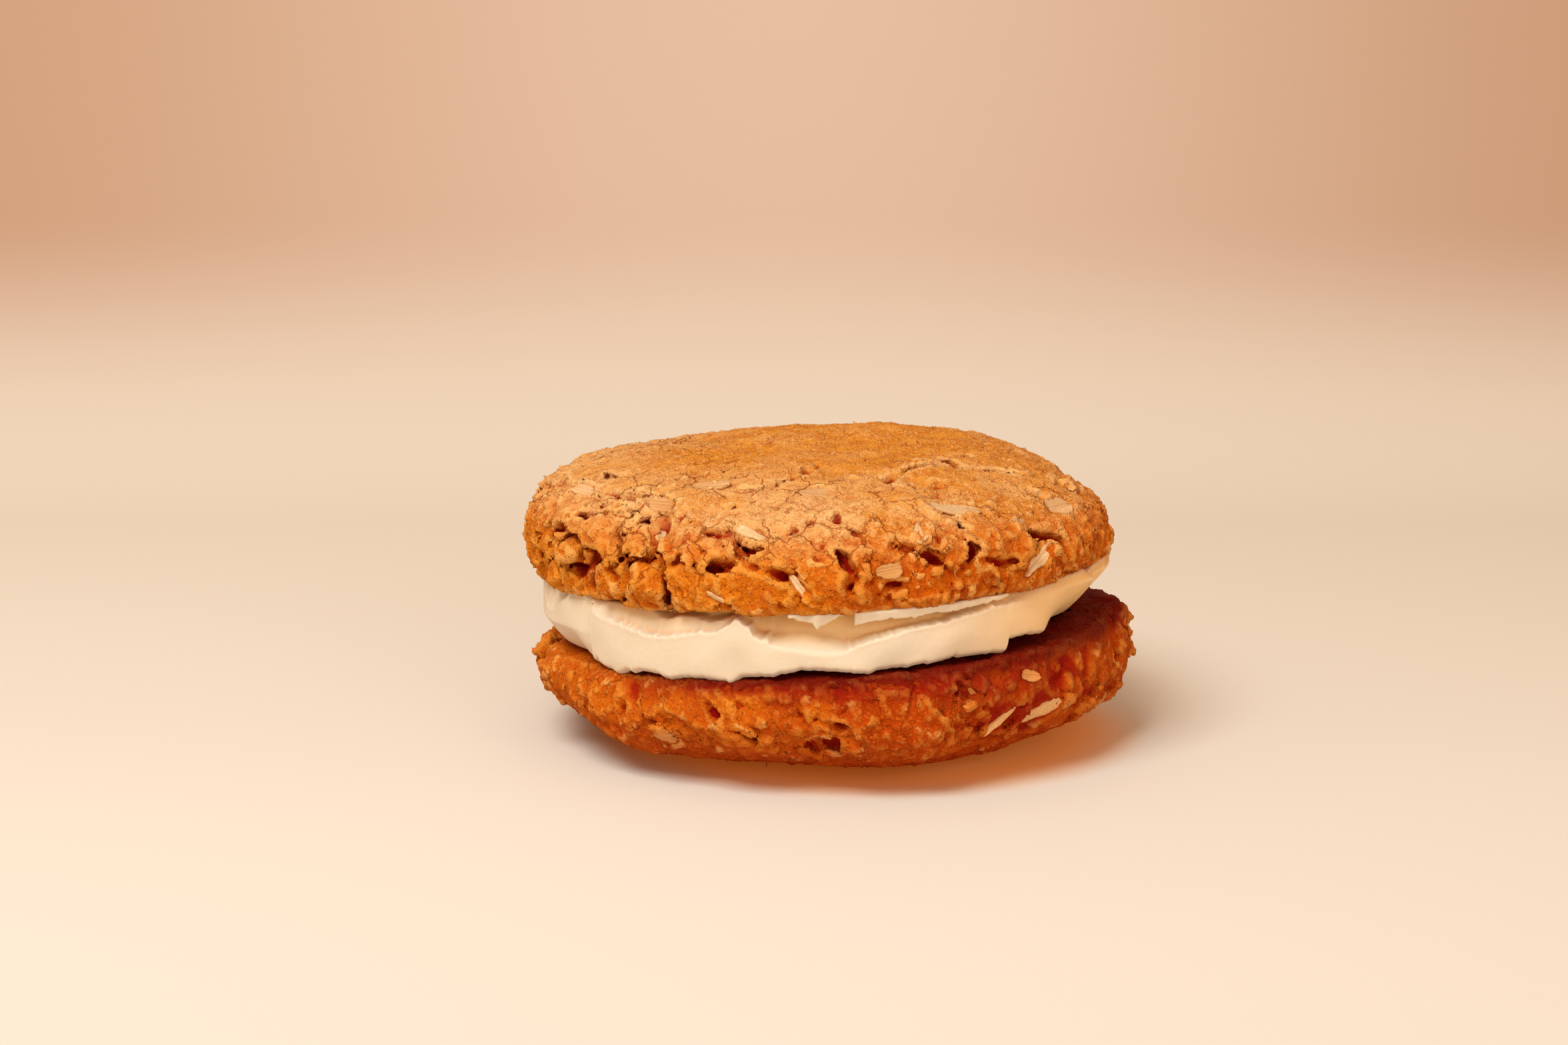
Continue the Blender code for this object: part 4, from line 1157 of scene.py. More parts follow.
# Stations of bearing and share of the torn lower edge.
CREAM_FOOT = (
    (196, 0.02), (209, 0.02), (215.6, 0.03), (218, 0.05), (220.3, 0.00), (222.5, -0.03),
    (224.4, -0.08), (226, -0.02), (227.3, 0.02), (229, 0.00), (230.9, 0.06), (233, 0.05),
    (235, 0.03), (236.5, -0.02), (238, -0.05), (241, 0.00), (244.8, 0.00), (248.4, -0.04),
    (250, -0.06), (251.1, -0.08), (252, -0.04), (253.1, 0.02), (255.7, 0.03), (259.6, 0.03),
    (262.2, 0.08), (264.7, 0.12), (268.5, 0.10), (273, 0.07), (276, 0.03), (277.8, 0.00),
    (279.5, 0.04), (283.2, 0.05), (286, 0.04), (288.7, 0.07), (290, 0.04), (293.4, 0.07),
    (300.8, 0.05), (305, 0.02), (307.6, -0.02), (308.0, 0.06), (308.4, 0.20), (312.6, 0.20),
    (318, 0.15), (322, 0.10), (326, 0.12), (334, 0.10), (341, 0.05),
)
# Bearing and share along the torn lower edges of the two hanging skirts.
SKIRTS = (
    ((261.3, 1.02), (263.5, 0.94), (265.4, 0.90), (267, 0.86), (267.9, 0.77), (268.6, 0.83),
     (269.6, 0.85), (270.8, 0.90), (272.9, 0.95), (274.6, 1.02)),
    ((275.0, 0.81), (275.5, 0.80), (276.9, 0.835), (279.5, 0.845), (282.1, 0.87),
     (284.5, 0.855), (286.6, 0.86), (287.1, 0.81), (287.6, 0.85), (288.5, 0.86), (291, 0.89),
     (292.4, 0.87), (293.5, 0.90), (295.6, 0.875), (299.1, 0.90), (303.3, 0.89),
     (304.5, 0.92), (306.4, 0.93), (308.3, 1.02)),
)
SKIRT_THICKNESS = 0.75  # mm
SKIRT_RADIUS = 37.8  # mm, at the upper cookie; lower down a skirt hangs inwards
# Where the band's foot draws in under it: first and last bearing, mm, and the share of
# the height by which it is back out.
DRAWN_IN = ((178, 212, 3.4, 0.5), (324, 384, 6.0, 0.85))
LEFT_STEP = (215.5, 0.6)  # bearing where the broad face starts, and how far it stands out
SHARP = 0.07  # softness under which the edge is torn and has a lip
print(len(CREAM_EDGE), "stations of the edge,", len(CREAM_FOOT), "of the foot")

# %% [markdown]
# The tables tell what the photo shows. Three small helpers fill in the rest: `ripple`
# gives a wave that closes on itself round the ring, `teeth` gives small pointed tears,
# and `shown` passes from a table to a made-up curve where the photo's view ends.


# %% Curves round the ring
def ripple(bearing, low, high, seed):
    """A closed wave round the ring, made of that many to that many lobes, spread about 1."""
    draw = np.random.default_rng(seed)
    total = np.zeros_like(bearing)
    for lobes in range(low, high):
        total += draw.standard_normal() * np.cos(np.radians(lobes * bearing) + draw.uniform(0, 7))
    return total / total.std()


def teeth(bearing, count, height, seed):
    """Small pointed tears along an edge, up and down, as shares of the height."""
    draw = np.random.default_rng(seed)
    total = np.zeros_like(bearing)
    for _ in range(count):
        away = turn_between(bearing, draw.uniform(0, 360))
        reach = draw.uniform(0.5, 1.8)
        total += height * draw.uniform(-0.7, 1) * np.maximum(1 - away / reach, 0) ** 1.5
    return total


def between(bearing, first, last, soft):
    """1 between two bearings, which may pass 360, falling to 0 over the soft degrees."""
    away = turn_between(bearing, (first + last) / 2)
    return 1 - ease(away, (last - first) / 2 - soft, (last - first) / 2 + soft)


def shown(bearing, table, column, hidden):
    """A table's column where the photo shows the cream, and the hidden curve elsewhere."""
    at = [row[0] for row in table]
    share = between(bearing, at[0], at[-1], 4)
    curve = np.interp(bearing, at, [row[column] for row in table])
    return share * curve + (1 - share) * hidden


CREAM_BEARINGS = np.arange(CREAM_TURNS) * 360 / CREAM_TURNS
CREAM_SHARES = np.arange(-0.16, 1.2, CREAM_STEP / CREAM_HEIGHT)
CREAM_RADII = np.arange(CREAM_INNER, CREAM_OUTER, CREAM_STEP)
print("ring of", CREAM_TURNS, "bearings,", len(CREAM_SHARES), "heights and",
      len(CREAM_RADII), "radii")

# %% [markdown]
# The landscape starts as the broad face, bulging a little between its edge and its foot.
# Each line after that takes a feature away from it or adds one: the lip along the torn
# edge, the ledge behind it, the second lip, and the ends where the foot draws in.


# %% The band and its skirts
def band_radius(t, edge, ledge, softness, second, foot):
    """The radius of the band's skin at each bearing and share of the height."""
    bearing = CREAM_BEARINGS
    crest = CREAM_CREST + 0.22 * ripple(bearing, 2, 14, 4)
    crest += 0.5 * between(bearing, 178, 214, 3) + 0.9 * between(bearing, 326, 372, 10)
    waves = 0
    draw = np.random.default_rng(6)
    for _ in range(14):
        lobes, along, start = draw.integers(2, 40), draw.uniform(-9, 9), draw.uniform(0, 7)
        waves = waves + np.cos(np.radians(lobes * bearing)[:, None] + along * t + start)
    skin = crest[:, None] + 0.035 * waves
    before = (LEFT_STEP[0] - bearing)[:, None]
    skin -= LEFT_STEP[1] * (before > 0) * np.exp(-np.maximum(before, 0) / 7) * (t < edge)
    # a bulge between edge and foot, a lip along the edge, and the foot tucked in
    skin -= 0.5 * ((t - (edge + foot) / 2) / 0.5) ** 2
    skin += 0.14 * np.exp(-((t - edge + 0.03) / 0.03) ** 2) * (softness < SHARP)
    skin -= 0.7 * np.exp(-((t - foot) / 0.05) ** 2)
    # the ledge, the hollow that deepens over it, and the drop behind the second lip
    skin -= 1.25 * ledge * ease(t, edge - softness, edge + softness)
    skin -= RECESS_SLOPE * ease(t, edge, 1.1) * np.minimum(ledge, 1)
    skin -= 1.9 * ease(t, second - 0.02, second + 0.03)
    for first, last, depth, full in DRAWN_IN:
        drawn = between(bearing, first, last, 7)[:, None]
        skin -= depth * drawn * np.clip(1 - t / full, 0, 1.1)
    return skin


def skirt_field(t, table, torn):
    """A thin hanging wall of cream down to a torn edge, joined to the band by its roof."""
    at = [row[0] for row in table]
    hang = np.interp(CREAM_BEARINGS, at, [row[1] for row in table])
    within = (CREAM_BEARINGS >= at[0]) & (CREAM_BEARINGS <= at[-1])
    hang = (np.where(within, hang, 1.1) + torn)[:, None]
    wall = SKIRT_RADIUS - 2.5 * (1 - t) + 0.12 * ripple(CREAM_BEARINGS, 20, 90, 9)[:, None]
    wall = CREAM_RADII - wall[..., None]
    skirt = np.maximum(np.abs(wall) - SKIRT_THICKNESS / 2,
                       ((hang - t) * CREAM_HEIGHT)[..., None])
    roof = np.maximum(wall, ((np.maximum(hang, 0.97) - t) * CREAM_HEIGHT)[..., None])
    return np.maximum(np.minimum(skirt, roof), ((t - 1.03) * CREAM_HEIGHT)[..., None])


def cream_field():
    """The ring block's field, and the least radius at each bearing that may show."""
    bearing = CREAM_BEARINGS
    t = CREAM_SHARES[None, :]
    torn = 0.006 * ripple(bearing, 90, 300, 5) + teeth(bearing, 150, 0.06, 7)
    torn_foot = 0.003 * ripple(bearing, 90, 300, 15) + teeth(bearing, 60, 0.04, 8)
    edge = shown(bearing, CREAM_EDGE, 1, 0.80 + 0.10 * ripple(bearing, 3, 16, 1))
    ledge = shown(bearing, CREAM_EDGE, 2, 0.7 + 0.45 * ripple(bearing, 3, 12, 2))
    ledge = np.maximum(ledge, 0.1)
    softness = shown(bearing, CREAM_EDGE, 3, 0.05)
    second = shown(bearing, CREAM_SECOND, 1, 1.1)
    foot = shown(bearing, CREAM_FOOT, 1, 0.03 + 0.03 * ripple(bearing, 12, 60, 3))
    foot = foot + torn_foot
    edge = edge + torn * (softness < SHARP)
    edge, ledge, softness, second, foot = (
        curve[:, None] for curve in (edge, ledge, softness, second, foot))
    skin = band_radius(t, edge, ledge, softness, second, foot)
    top = 1.0 + 0.06 * (edge > 0.95)
    field = CREAM_RADII - skin[..., None]
    field = np.maximum(field, ((foot - t) * CREAM_HEIGHT)[..., None])
    field = np.maximum(field, ((t - top) * CREAM_HEIGHT)[..., None])
    for table in SKIRTS:
        field = np.minimum(field, skirt_field(t, table, torn))
    least = np.where((t > foot) & (t < 1), skin, CREAM_OUTER).min(1) - 0.7
    return field.astype(np.float32), least


print("the broad face's edge is sharp where its softness is under", SHARP)

# %% [markdown]
# The skin of the ring comes out in steps of its three axes, so each point is turned back
# into millimetres: the share of the height is measured between the two leaning faces.
# What lies behind every part that shows is taken away and closed with one face.


# %% The mesh of the cream
CREAM_NEAR_AIR = 3  # steps either way over which the ring is blurred
CREAM_FAR_AIR = 9
# At this depth the hollow under the upper cookie takes its full painted shade.
DEEPEST_SCOOP_SHADE = 3.6  # mm behind the crest where the cream is coloured as fully scooped


def cream_places(bearing, share, radius):
    """Points in mm for bearings, shares of the height and radii."""
    angle = np.radians(bearing)
    x = CREAM_MIDDLE + radius * np.cos(angle)
    low = BOTTOM.face_height(x)
    high = TOP.face_height(x)
    return np.stack([x, radius * np.sin(angle), low + share * (high - low)], -1)


def make_cream(name):
    """The cream's skin as a piece, with how open each point lies and how far inside."""
    field, least = cream_field()
    points, quads = wrap_skin(field, ring=True)
    solid = np.clip(0.5 - field / CREAM_STEP, 0, 1)
    lap = CREAM_FAR_AIR + 3  # repeated past each end of the ring, for the blur
    wide = np.concatenate([solid[-lap:], solid, solid[:lap]])
    ring = Block((0, 0, 0), [count - 1 for count in wide.shape], 1)
    radius = CREAM_RADII[0] + points[:, 2] * CREAM_STEP
    share = CREAM_SHARES[0] + points[:, 1] * (CREAM_SHARES[1] - CREAM_SHARES[0])
    hidden = radius < least[points[:, 0].astype(int) % CREAM_TURNS]
    place = cream_places(points[:, 0] * 360 / CREAM_TURNS, share, radius)
    return skin_piece(name, place, quads[~hidden[quads].all(1)], {
        "open_near": 1 - fields_at(ring, blurred(wide, CREAM_NEAR_AIR, 1), points + [lap, 0, 0]),
        "open_far": 1 - fields_at(ring, blurred(wide, CREAM_FAR_AIR, 1), points + [lap, 0, 0]),
        "behind": np.clip((CREAM_CREST - radius) / DEEPEST_SCOOP_SHADE, 0, 1),
        "share": share,
    })


cream = make_cream("cream")
print("cream:", len(cream.data.polygons), "faces")

# %% [markdown]
# ## Finishes
#
# Every finish here is made of nodes, so it has no pictures in it. Four effects are
# wanted by more than one finish, and each is a node group of its own: painted shade in
# hollows with painted highlight on ridges, the grain of a dry surface, hairlines in a
# dried crust, and uneven toasting.
# The groups put out colours and masks. The shader itself stays in each material.
#
# A small helper writes nodes as formulas. It takes a number, a colour or another node's
# output wherever a socket needs feeding.


# %% Writing nodes as formulas
class Nodes:
    """Adds nodes to a tree and feeds their sockets with values or other outputs."""

    def __init__(self, tree):
        self.tree = tree

    def feed(self, socket, value):
        if isinstance(value, bpy.types.NodeSocket):
            self.tree.links.new(value, socket)
        else:
            socket.default_value = value

    def add(self, kind, fed=None, **settings):
        """A new node with its settings made and its inputs fed."""
        node = self.tree.nodes.new("ShaderNode" + kind)
        for name, value in settings.items():
            setattr(node, name, value)
        for socket, value in (fed or {}).items():
            self.feed(node.inputs[socket], value)
        return node

    def group(self, name, fed):
        """Places a node group and returns its outputs."""
        return self.add("Group", fed, node_tree=bpy.data.node_groups[name]).outputs

    def math(self, operation, *values):
        return self.add("Math", dict(enumerate(values)), operation=operation).outputs[0]

    def times(self, first, second):
        return self.math("MULTIPLY", first, second)

    def plus(self, first, second):
        return self.math("ADD", first, second)

    def minus(self, first, second):
        return self.math("SUBTRACT", first, second)

    def most(self, first, second):
        return self.math("MAXIMUM", first, second)

    def mix(self, share, first, second):
        """Colour between first, at share 0, and second, at share 1."""
        return self.add("Mix", {0: share, 6: first, 7: second}, data_type="RGBA").outputs[2]

    def rise(self, value, low, high):
        """0 where the value is below low, 1 above high; low may be the greater one."""
        fed = {"Value": value, "From Min": low, "From Max": high}
        return self.add("MapRange", fed, interpolation_type="SMOOTHSTEP").outputs[0]

    def read(self, name):
        """A number stored on the mesh's points."""
        return self.add("Attribute", attribute_name=name).outputs["Fac"]

    def place(self):
        return self.add("TexCoord").outputs["Object"]

    def along(self, axis):
        """The place along X, Y or Z, in metres."""
        return self.add("SeparateXYZ", {"Vector": self.place()}).outputs[axis]

    def noise(self, place, size, detail=2.0, roughness=0.5):
        """Smooth noise from 0 to 1, with lumps about that many millimetres across."""
        fed = {"Vector": place, "Scale": 0.7 / (size * MM), "Detail": detail,
               "Roughness": roughness}
        return self.add("TexNoise", fed).outputs["Fac"]

    def shaken(self, place, scale, detail, by):
        """The place, moved up to that many millimetres by a noise of waves per millimetre."""
        noise = self.add("TexNoise", {"Vector": place, "Scale": scale / MM, "Detail": detail})
        fed = {0: noise.outputs["Color"], 1: (by * MM,) * 3, 2: place}
        return self.add("VectorMath", fed, operation="MULTIPLY_ADD").outputs[0]

    def cells(self, place, scale, **settings):
        """The outputs of a texture of irregular cells."""
        return self.add("TexVoronoi", {"Vector": place, "Scale": scale}, **settings).outputs

    def bump(self, height, depth):
        """A normal tilted by a height, where 1 stands for that many millimetres."""
        return self.add("Bump", {"Height": height, "Distance": depth * MM}).outputs["Normal"]


def start_group(name, inputs, outputs):
    """A new group's node writer, its input sockets and its output sockets.

    The inputs are named with their defaults, the outputs with their kinds.
    """
    tree = bpy.data.node_groups.new(name, "ShaderNodeTree")
    for label, default in inputs.items():
        kind = "NodeSocketColor" if isinstance(default, tuple) else "NodeSocketFloat"
        tree.interface.new_socket(label, in_out="INPUT", socket_type=kind).default_value = default
    for label, kind in outputs.items():
        tree.interface.new_socket(label, in_out="OUTPUT", socket_type="NodeSocket" + kind)
    source = tree.nodes.new("NodeGroupInput")
    sink = tree.nodes.new("NodeGroupOutput")
    return Nodes(tree), source.outputs, sink.inputs


def start_material(name):
    """A new material, its node writer and its Principled shader's inputs."""
    made = bpy.data.materials.new(name)
    made.use_nodes = True
    shader = made.node_tree.nodes["Principled BSDF"]
    return made, Nodes(made.node_tree), shader.inputs


print("node helpers ready")

# %% [markdown]
# ** Hollows.** Light that gets into a crack bounces from dough to dough and comes out
# redder each time. The renderer does some of that, and the rest is painted shade: this
# group gives a mask of hollows for it, where the crumb is also moister and darker than
# the crust, and a mask of ridges, which are painted paler as highlight. When the skin
# was wrapped, each point kept a number that says how much open air is round it: a half
# on a flat stretch, less down in a crack.

# %% Group: hollows
nodes, given, out = start_group(
    "hollows",
    {"Open near": 0.5, "Open far": 0.5, "Edge": 0.5},
    {"Hollow_shade": "Float", "Ridge": "Float"})
# The first mask takes painted shade; the second marks ridges for painted highlight and bits of
# oat.
deep = nodes.rise(given["Open far"], 0.46, 0.32)
sharp = nodes.rise(given["Open near"], 0.47, 0.33)
nodes.feed(out["Hollow_shade"], nodes.most(deep, nodes.times(sharp, 0.8)))
nodes.feed(out["Ridge"], nodes.rise(given["Open near"], given["Edge"], 0.66))
print("group hollows made")

# %% [markdown]
# ** Grain.** Flour, sugar and ground oats leave a surface like fine sandpaper, with a few
# pale granules and dark specks. Cells that a noise has shaken give the granules: the
# random colour of a cell picks how tall, pale or dark it is. In patches the spaces between
# the granules get painted shade. Under them lie two plain noises, dust and sand.

# %% Group: grain
nodes, given, out = start_group(
    "grain",
    {"Size in mm": 0.5, "Flecks": 0.5},
    {"Height": "Float", "Tone": "Float", "Pale": "Float", "Dark": "Float", "Gap_shade": "Float"})
place = nodes.place()
shaken = nodes.shaken(place, 0.9, 2.0, by=0.7)
scale = nodes.math("DIVIDE", 1 / MM, given["Size in mm"])
granule = nodes.cells(shaken, scale)
pick = nodes.add("SeparateColor", {"Color": granule["Color"]}).outputs
bead = nodes.rise(granule["Distance"], 0.70, 0.12)
crumb = nodes.rise(nodes.cells(shaken, nodes.times(scale, 2.2))["Distance"], 0.70, 0.12)
tall = nodes.times(bead, nodes.plus(0.35, pick["Red"]))
dust = nodes.noise(place, 0.25, 2.0, 0.6)
sand = nodes.noise(place, 0.7, 3.0, 0.7)
height = nodes.plus(nodes.times(dust, 0.7), nodes.times(sand, 1.3))
height = nodes.plus(nodes.times(tall, 0.28), nodes.plus(nodes.times(crumb, 0.12), height))
nodes.feed(out["Height"], height)
nodes.feed(out["Tone"], nodes.plus(nodes.times(nodes.rise(dust, 0.3, 0.7), 0.5),
                                   nodes.times(pick["Red"], 0.5)))
pale = nodes.times(nodes.rise(pick["Red"], 0.40, 0.95), nodes.rise(bead, 0.05, 0.65))
nodes.feed(out["Pale"], nodes.times(given["Flecks"], pale))
dark = nodes.times(nodes.rise(pick["Green"], 0.93, 0.97), nodes.rise(bead, 0.2, 0.8))
nodes.feed(out["Dark"], nodes.times(given["Flecks"], dark))
# In patches, a mask for painted shade between the granules.
patch = nodes.rise(nodes.noise(place, 1.8, 2.0), 0.40, 0.58)
nodes.feed(out["Gap_shade"], nodes.times(nodes.rise(bead, 0.42, 0.08), patch))
print("group grain made")

# %% [markdown]
# **Hairlines.** A crust that has dried also splits in lines a tenth or two of a
# millimetre wide. They run between cells that a noise has bent, and only in places.

# %% Group: hairlines
nodes, given, out = start_group("hairlines", {"Size in mm": 6.0}, {"Line": "Float"})
place = nodes.place()
bent = nodes.shaken(place, 0.7, 4.0, by=2.4)
scale = nodes.math("DIVIDE", 1 / MM, given["Size in mm"])
border = nodes.cells(bent, scale, feature="DISTANCE_TO_EDGE")["Distance"]
where = nodes.rise(nodes.noise(place, 7, 2.0), 0.46, 0.60)
nodes.feed(out["Line"], nodes.times(nodes.rise(border, 0.022, 0.006), where))
print("group hairlines made")

# %% [markdown]
# **Toasting.** An oven never browns evenly. This group drifts between a pale and a
# toasted colour in patches of about a centimetre, broken up by smaller ones.

# %% Group: toasting
nodes, given, out = start_group(
    "toasting",
    {"Pale": (0.8, 0.5, 0.2, 1), "Toasted": (0.5, 0.2, 0.05, 1), "Amount": 0.5},
    {"Color": "Color", "Share": "Float"})
place = nodes.place()
patch = nodes.plus(nodes.times(nodes.noise(place, 11), 0.6),
                   nodes.times(nodes.noise(place, 2.6, 3.0), 0.4))
share = nodes.plus(nodes.rise(patch, 0.35, 0.65),
                   nodes.minus(nodes.times(given["Amount"], 2), 1))
share = nodes.rise(share, 0.0, 1.0)
nodes.feed(out["Share"], share)
nodes.feed(out["Color"], nodes.mix(share, given["Pale"], given["Toasted"]))
print("group toasting made")

# %% [markdown]
# ** The dough.** The dried crust of the crown is paler than the broken rim, and both are
# painted darker and browner towards the right, as shade on the side away from the key.
# Near the cream the dough has taken up butter, which makes it dark and a little shiny,
# and painted shade from the cream's overhang darkens it further, more so on the lower
# cookie. The lower cookie's colours are darker all over, partly painted shade. Hollows go
# to a deep red-brown with painted shade, and ridges are paler with painted highlight. The
# bump is the same grain that tints the surface, so light and colour agree.

# %% Material: dough
# Crack colours: the walls and the deep of a crack are dark with painted shade over crumb that is
# moister there; the wall colour also draws hairlines.
WALL = (0.46, 0.07, 0.003, 1)  # the crumb on the walls of a crack
CREVICE_SHADE = (0.30, 0.006, 0.002, 1)  # and deep in it
OATY = (0.90, 0.54, 0.18, 1)  # bits of oat that show on broken edges
SPECK = (0.20, 0.02, 0.003, 1)
# Painted shade between the grains of the crust.
GAP_SHADE = (0.32, 0.035, 0.003, 1)  # between the grains of the crust
# Butter that the dough has taken up, with painted shade under the cream's overhang; then painted
# shadow right under the cream's edge.
BUTTER_STAIN_AND_SHADE = (0.25, 0.004, 0.001, 1)  # dough that has taken up butter from the cream
SHADOW_UNDER_CREAM = (0.10, 0.001, 0.001, 1)  # the same right beside the cream
SHEEN_TINT = (1.0, 0.62, 0.32, 1)


def stain_and_shade_mask(nodes, reach, along, ragged, stain_and_shade_amount):
    """Where the dough darkens near its face: partly butter that has got in, partly painted shade
    under the cream's overhang; not at the lit left end.
    """
    stain_and_shade_amount = nodes.times(nodes.rise(along, -0.036, -0.014), stain_and_shade_amount)
    stain_and_shade_amount = nodes.times(stain_and_shade_amount, nodes.most(nodes.rise(along, 0.036, 0.022),
                                              nodes.rise(reach, 47.5, 50)))
    soaked = nodes.plus(reach, nodes.times(ragged, 1.5))
    soaked = nodes.plus(soaked, nodes.times(nodes.read("under"), 1.1))
    return nodes.times(nodes.rise(soaked, 47.0, 50.6), stain_and_shade_amount)


def dough_material(name, grain_size, rim_starts, stain_and_shade_amount, crown, crust, crust_toasted,
                   rim, rim_toasted, granule, rim_granule):
    """A dough: its grain in mm, the reach where the rim starts, and its colours."""
    made, nodes, shader = start_material(name)
    reach, along = nodes.read("reach"), nodes.along("X")
    hollow = nodes.group("hollows", {"Open near": nodes.read("open_near"),
                                     "Open far": nodes.read("open_far"), "Edge": 0.50})
    grain = nodes.group("grain", {"Size in mm": grain_size, "Flecks": 1.0})

    # Crust, rim and the browned middle of the crown.
    # Painted shade: the dough is made browner and darker towards the right, away from the key, as
    # more toasting.
    more = nodes.minus(nodes.times(nodes.rise(along, -0.034, 0.030), 0.4), 0.16)
    on_crust = nodes.group("toasting", {"Pale": crust, "Toasted": crust_toasted,
                                        "Amount": nodes.plus(more, 0.45)})
    on_rim = nodes.group("toasting", {"Pale": rim, "Toasted": rim_toasted,
                                      "Amount": nodes.plus(more, 0.48)})
    outward = nodes.rise(reach, rim_starts, rim_starts + 10)
    colour = nodes.mix(outward, on_crust["Color"], on_rim["Color"])
    browned = nodes.rise(nodes.noise(nodes.place(), 9, 3.0), 0.36, 0.60)
    browned = nodes.plus(0.45, nodes.times(browned, 0.5))
    colour = nodes.mix(nodes.times(nodes.rise(reach, 31, 17), browned), colour, crown)

    # Butter from the cream, with painted shade and painted shadow under it; where they lie, little
    # shows of what follows.
    stain_and_shade = stain_and_shade_mask(nodes, reach, along, on_rim["Share"], stain_and_shade_amount)
    colour = nodes.mix(stain_and_shade, colour, BUTTER_STAIN_AND_SHADE)
    cream_shadow = nodes.times(nodes.rise(reach, 48.3, 50.5), stain_and_shade)
    colour = nodes.mix(nodes.times(cream_shadow, 0.8), colour, SHADOW_UNDER_CREAM)
    bare = nodes.minus(1, nodes.times(stain_and_shade, 0.97))

    # Granules with painted shade between them, ridges paler with painted highlight, and bits of
    # oat.
    gap_shade = nodes.times(grain["Gap_shade"], nodes.minus(0.42, nodes.times(stain_and_shade, 0.35)))
    colour = nodes.mix(gap_shade, colour, GAP_SHADE)
    flecks = nodes.minus(0.40, nodes.times(outward, 0.18))
    pale = nodes.most(nodes.times(grain["Pale"], flecks), nodes.times(hollow["Ridge"], 0.42))
    colour = nodes.mix(nodes.times(pale, bare), colour,
                       nodes.mix(outward, granule, rim_granule))
    oaty = nodes.times(nodes.rise(hollow["Ridge"], 0.25, 0.8),
                       nodes.rise(nodes.noise(nodes.place(), 2.8, 2.0), 0.53, 0.62))
    colour = nodes.mix(nodes.times(nodes.times(oaty, bare), 0.3), colour, OATY)

    # Painted shade in hollows and deep under the smooth form, where the crumb is also moister;
    # then hairlines and dark specks.
    sunk = nodes.times(nodes.rise(nodes.read("under"), 0.45, 1.9), 0.9)
    sunk = nodes.most(hollow["Hollow_shade"], sunk)
    colour = nodes.mix(sunk, colour, nodes.mix(nodes.rise(sunk, 0.45, 0.95), WALL, CREVICE_SHADE))
    split = nodes.group("hairlines", {"Size in mm": 6.0})["Line"]
    split = nodes.times(split, nodes.times(bare, nodes.rise(reach, 8, 22)))
    colour = nodes.mix(nodes.times(split, 0.75), colour, WALL)
    colour = nodes.mix(nodes.times(grain["Dark"], 0.7), colour, SPECK)

    nodes.feed(shader["Base Color"], colour)
    dry = nodes.rise(grain["Tone"], -1.2, 0.6)
    nodes.feed(shader["Roughness"], nodes.minus(dry, nodes.times(stain_and_shade, 0.25)))
    shader["Specular IOR Level"].default_value = 0.14
    shader["Specular Tint"].default_value = SHEEN_TINT
    height = nodes.minus(grain["Height"], nodes.times(split, 1.2))
    nodes.feed(shader["Normal"], nodes.bump(height, 0.28))
    return made


top_crumb.data.materials.append(dough_material(
    "oat_dough", grain_size=0.40, rim_starts=34, stain_and_shade_amount=0.15,
    crown=(0.62, 0.235, 0.02, 1),
    crust=(0.70, 0.38, 0.13, 1), crust_toasted=(0.64, 0.26, 0.04, 1),
    rim=(0.62, 0.17, 0.006, 1), rim_toasted=(0.52, 0.095, 0.002, 1),
    granule=(0.86, 0.57, 0.26, 1), rim_granule=(0.80, 0.40, 0.07, 1)))
# The lower cookie's colours are darker than the upper's, partly painted shade of the cookie that
# sits low under the cream; its butter and shade under the cream are strong too.
bottom_crumb.data.materials.append(dough_material(
    "oat_dough_lower", grain_size=0.46, rim_starts=36, stain_and_shade_amount=0.95,
    crown=(0.42, 0.045, 0.002, 1),
    crust=(0.46, 0.06, 0.003, 1), crust_toasted=(0.40, 0.045, 0.002, 1),
    rim=(0.55, 0.12, 0.004, 1), rim_toasted=(0.42, 0.05, 0.001, 1),
    granule=(0.60, 0.12, 0.006, 1), rim_granule=(0.76, 0.33, 0.05, 1)))
print("dough finished")

# %% [markdown]
# **The oats.** A rolled oat keeps fine lines along its length from the grain it was. Each
# flake carries a number that says how toasted it is, so some stay pale and some are as
# brown as the dough. Their rims, which stand out of the dough, are toasted most.


# %% Material: oats
def oat_material(name, pale, toasted, amount):
    """A flake's finish, from its pale and its toasted colour."""
    made, nodes, shader = start_material(name)
    grain = nodes.group("grain", {"Size in mm": 0.4, "Flecks": 0.4})
    toast = nodes.group("toasting", {"Pale": pale, "Toasted": toasted, "Amount": amount})
    own = nodes.read("own")
    across = nodes.plus(nodes.times(nodes.read("across"), 4.0), nodes.times(own, 50))
    lines = nodes.add("TexNoise", {"W": across}, noise_dimensions="1D").outputs["Fac"]
    colour = nodes.mix(nodes.rise(own, 0.0, 0.8), pale, toast["Color"])
    for mask, strength in (
            (nodes.rise(own, 0.3, 0.9), 0.8),
            (nodes.rise(lines, 0.60, 0.35), 0.22),
            (nodes.rise(nodes.read("rim"), 0.75, 1.0), 0.55),
            (nodes.rise(grain["Tone"], 1.0, 0.0), 0.4)):
        colour = nodes.mix(nodes.times(mask, strength), colour, toasted)
    nodes.feed(shader["Base Color"], colour)
    shader["Roughness"].default_value = 0.62
    height = nodes.plus(nodes.times(lines, 0.8), nodes.times(grain["Height"], 0.35))
    nodes.feed(shader["Normal"], nodes.bump(height, 0.16))
    return made


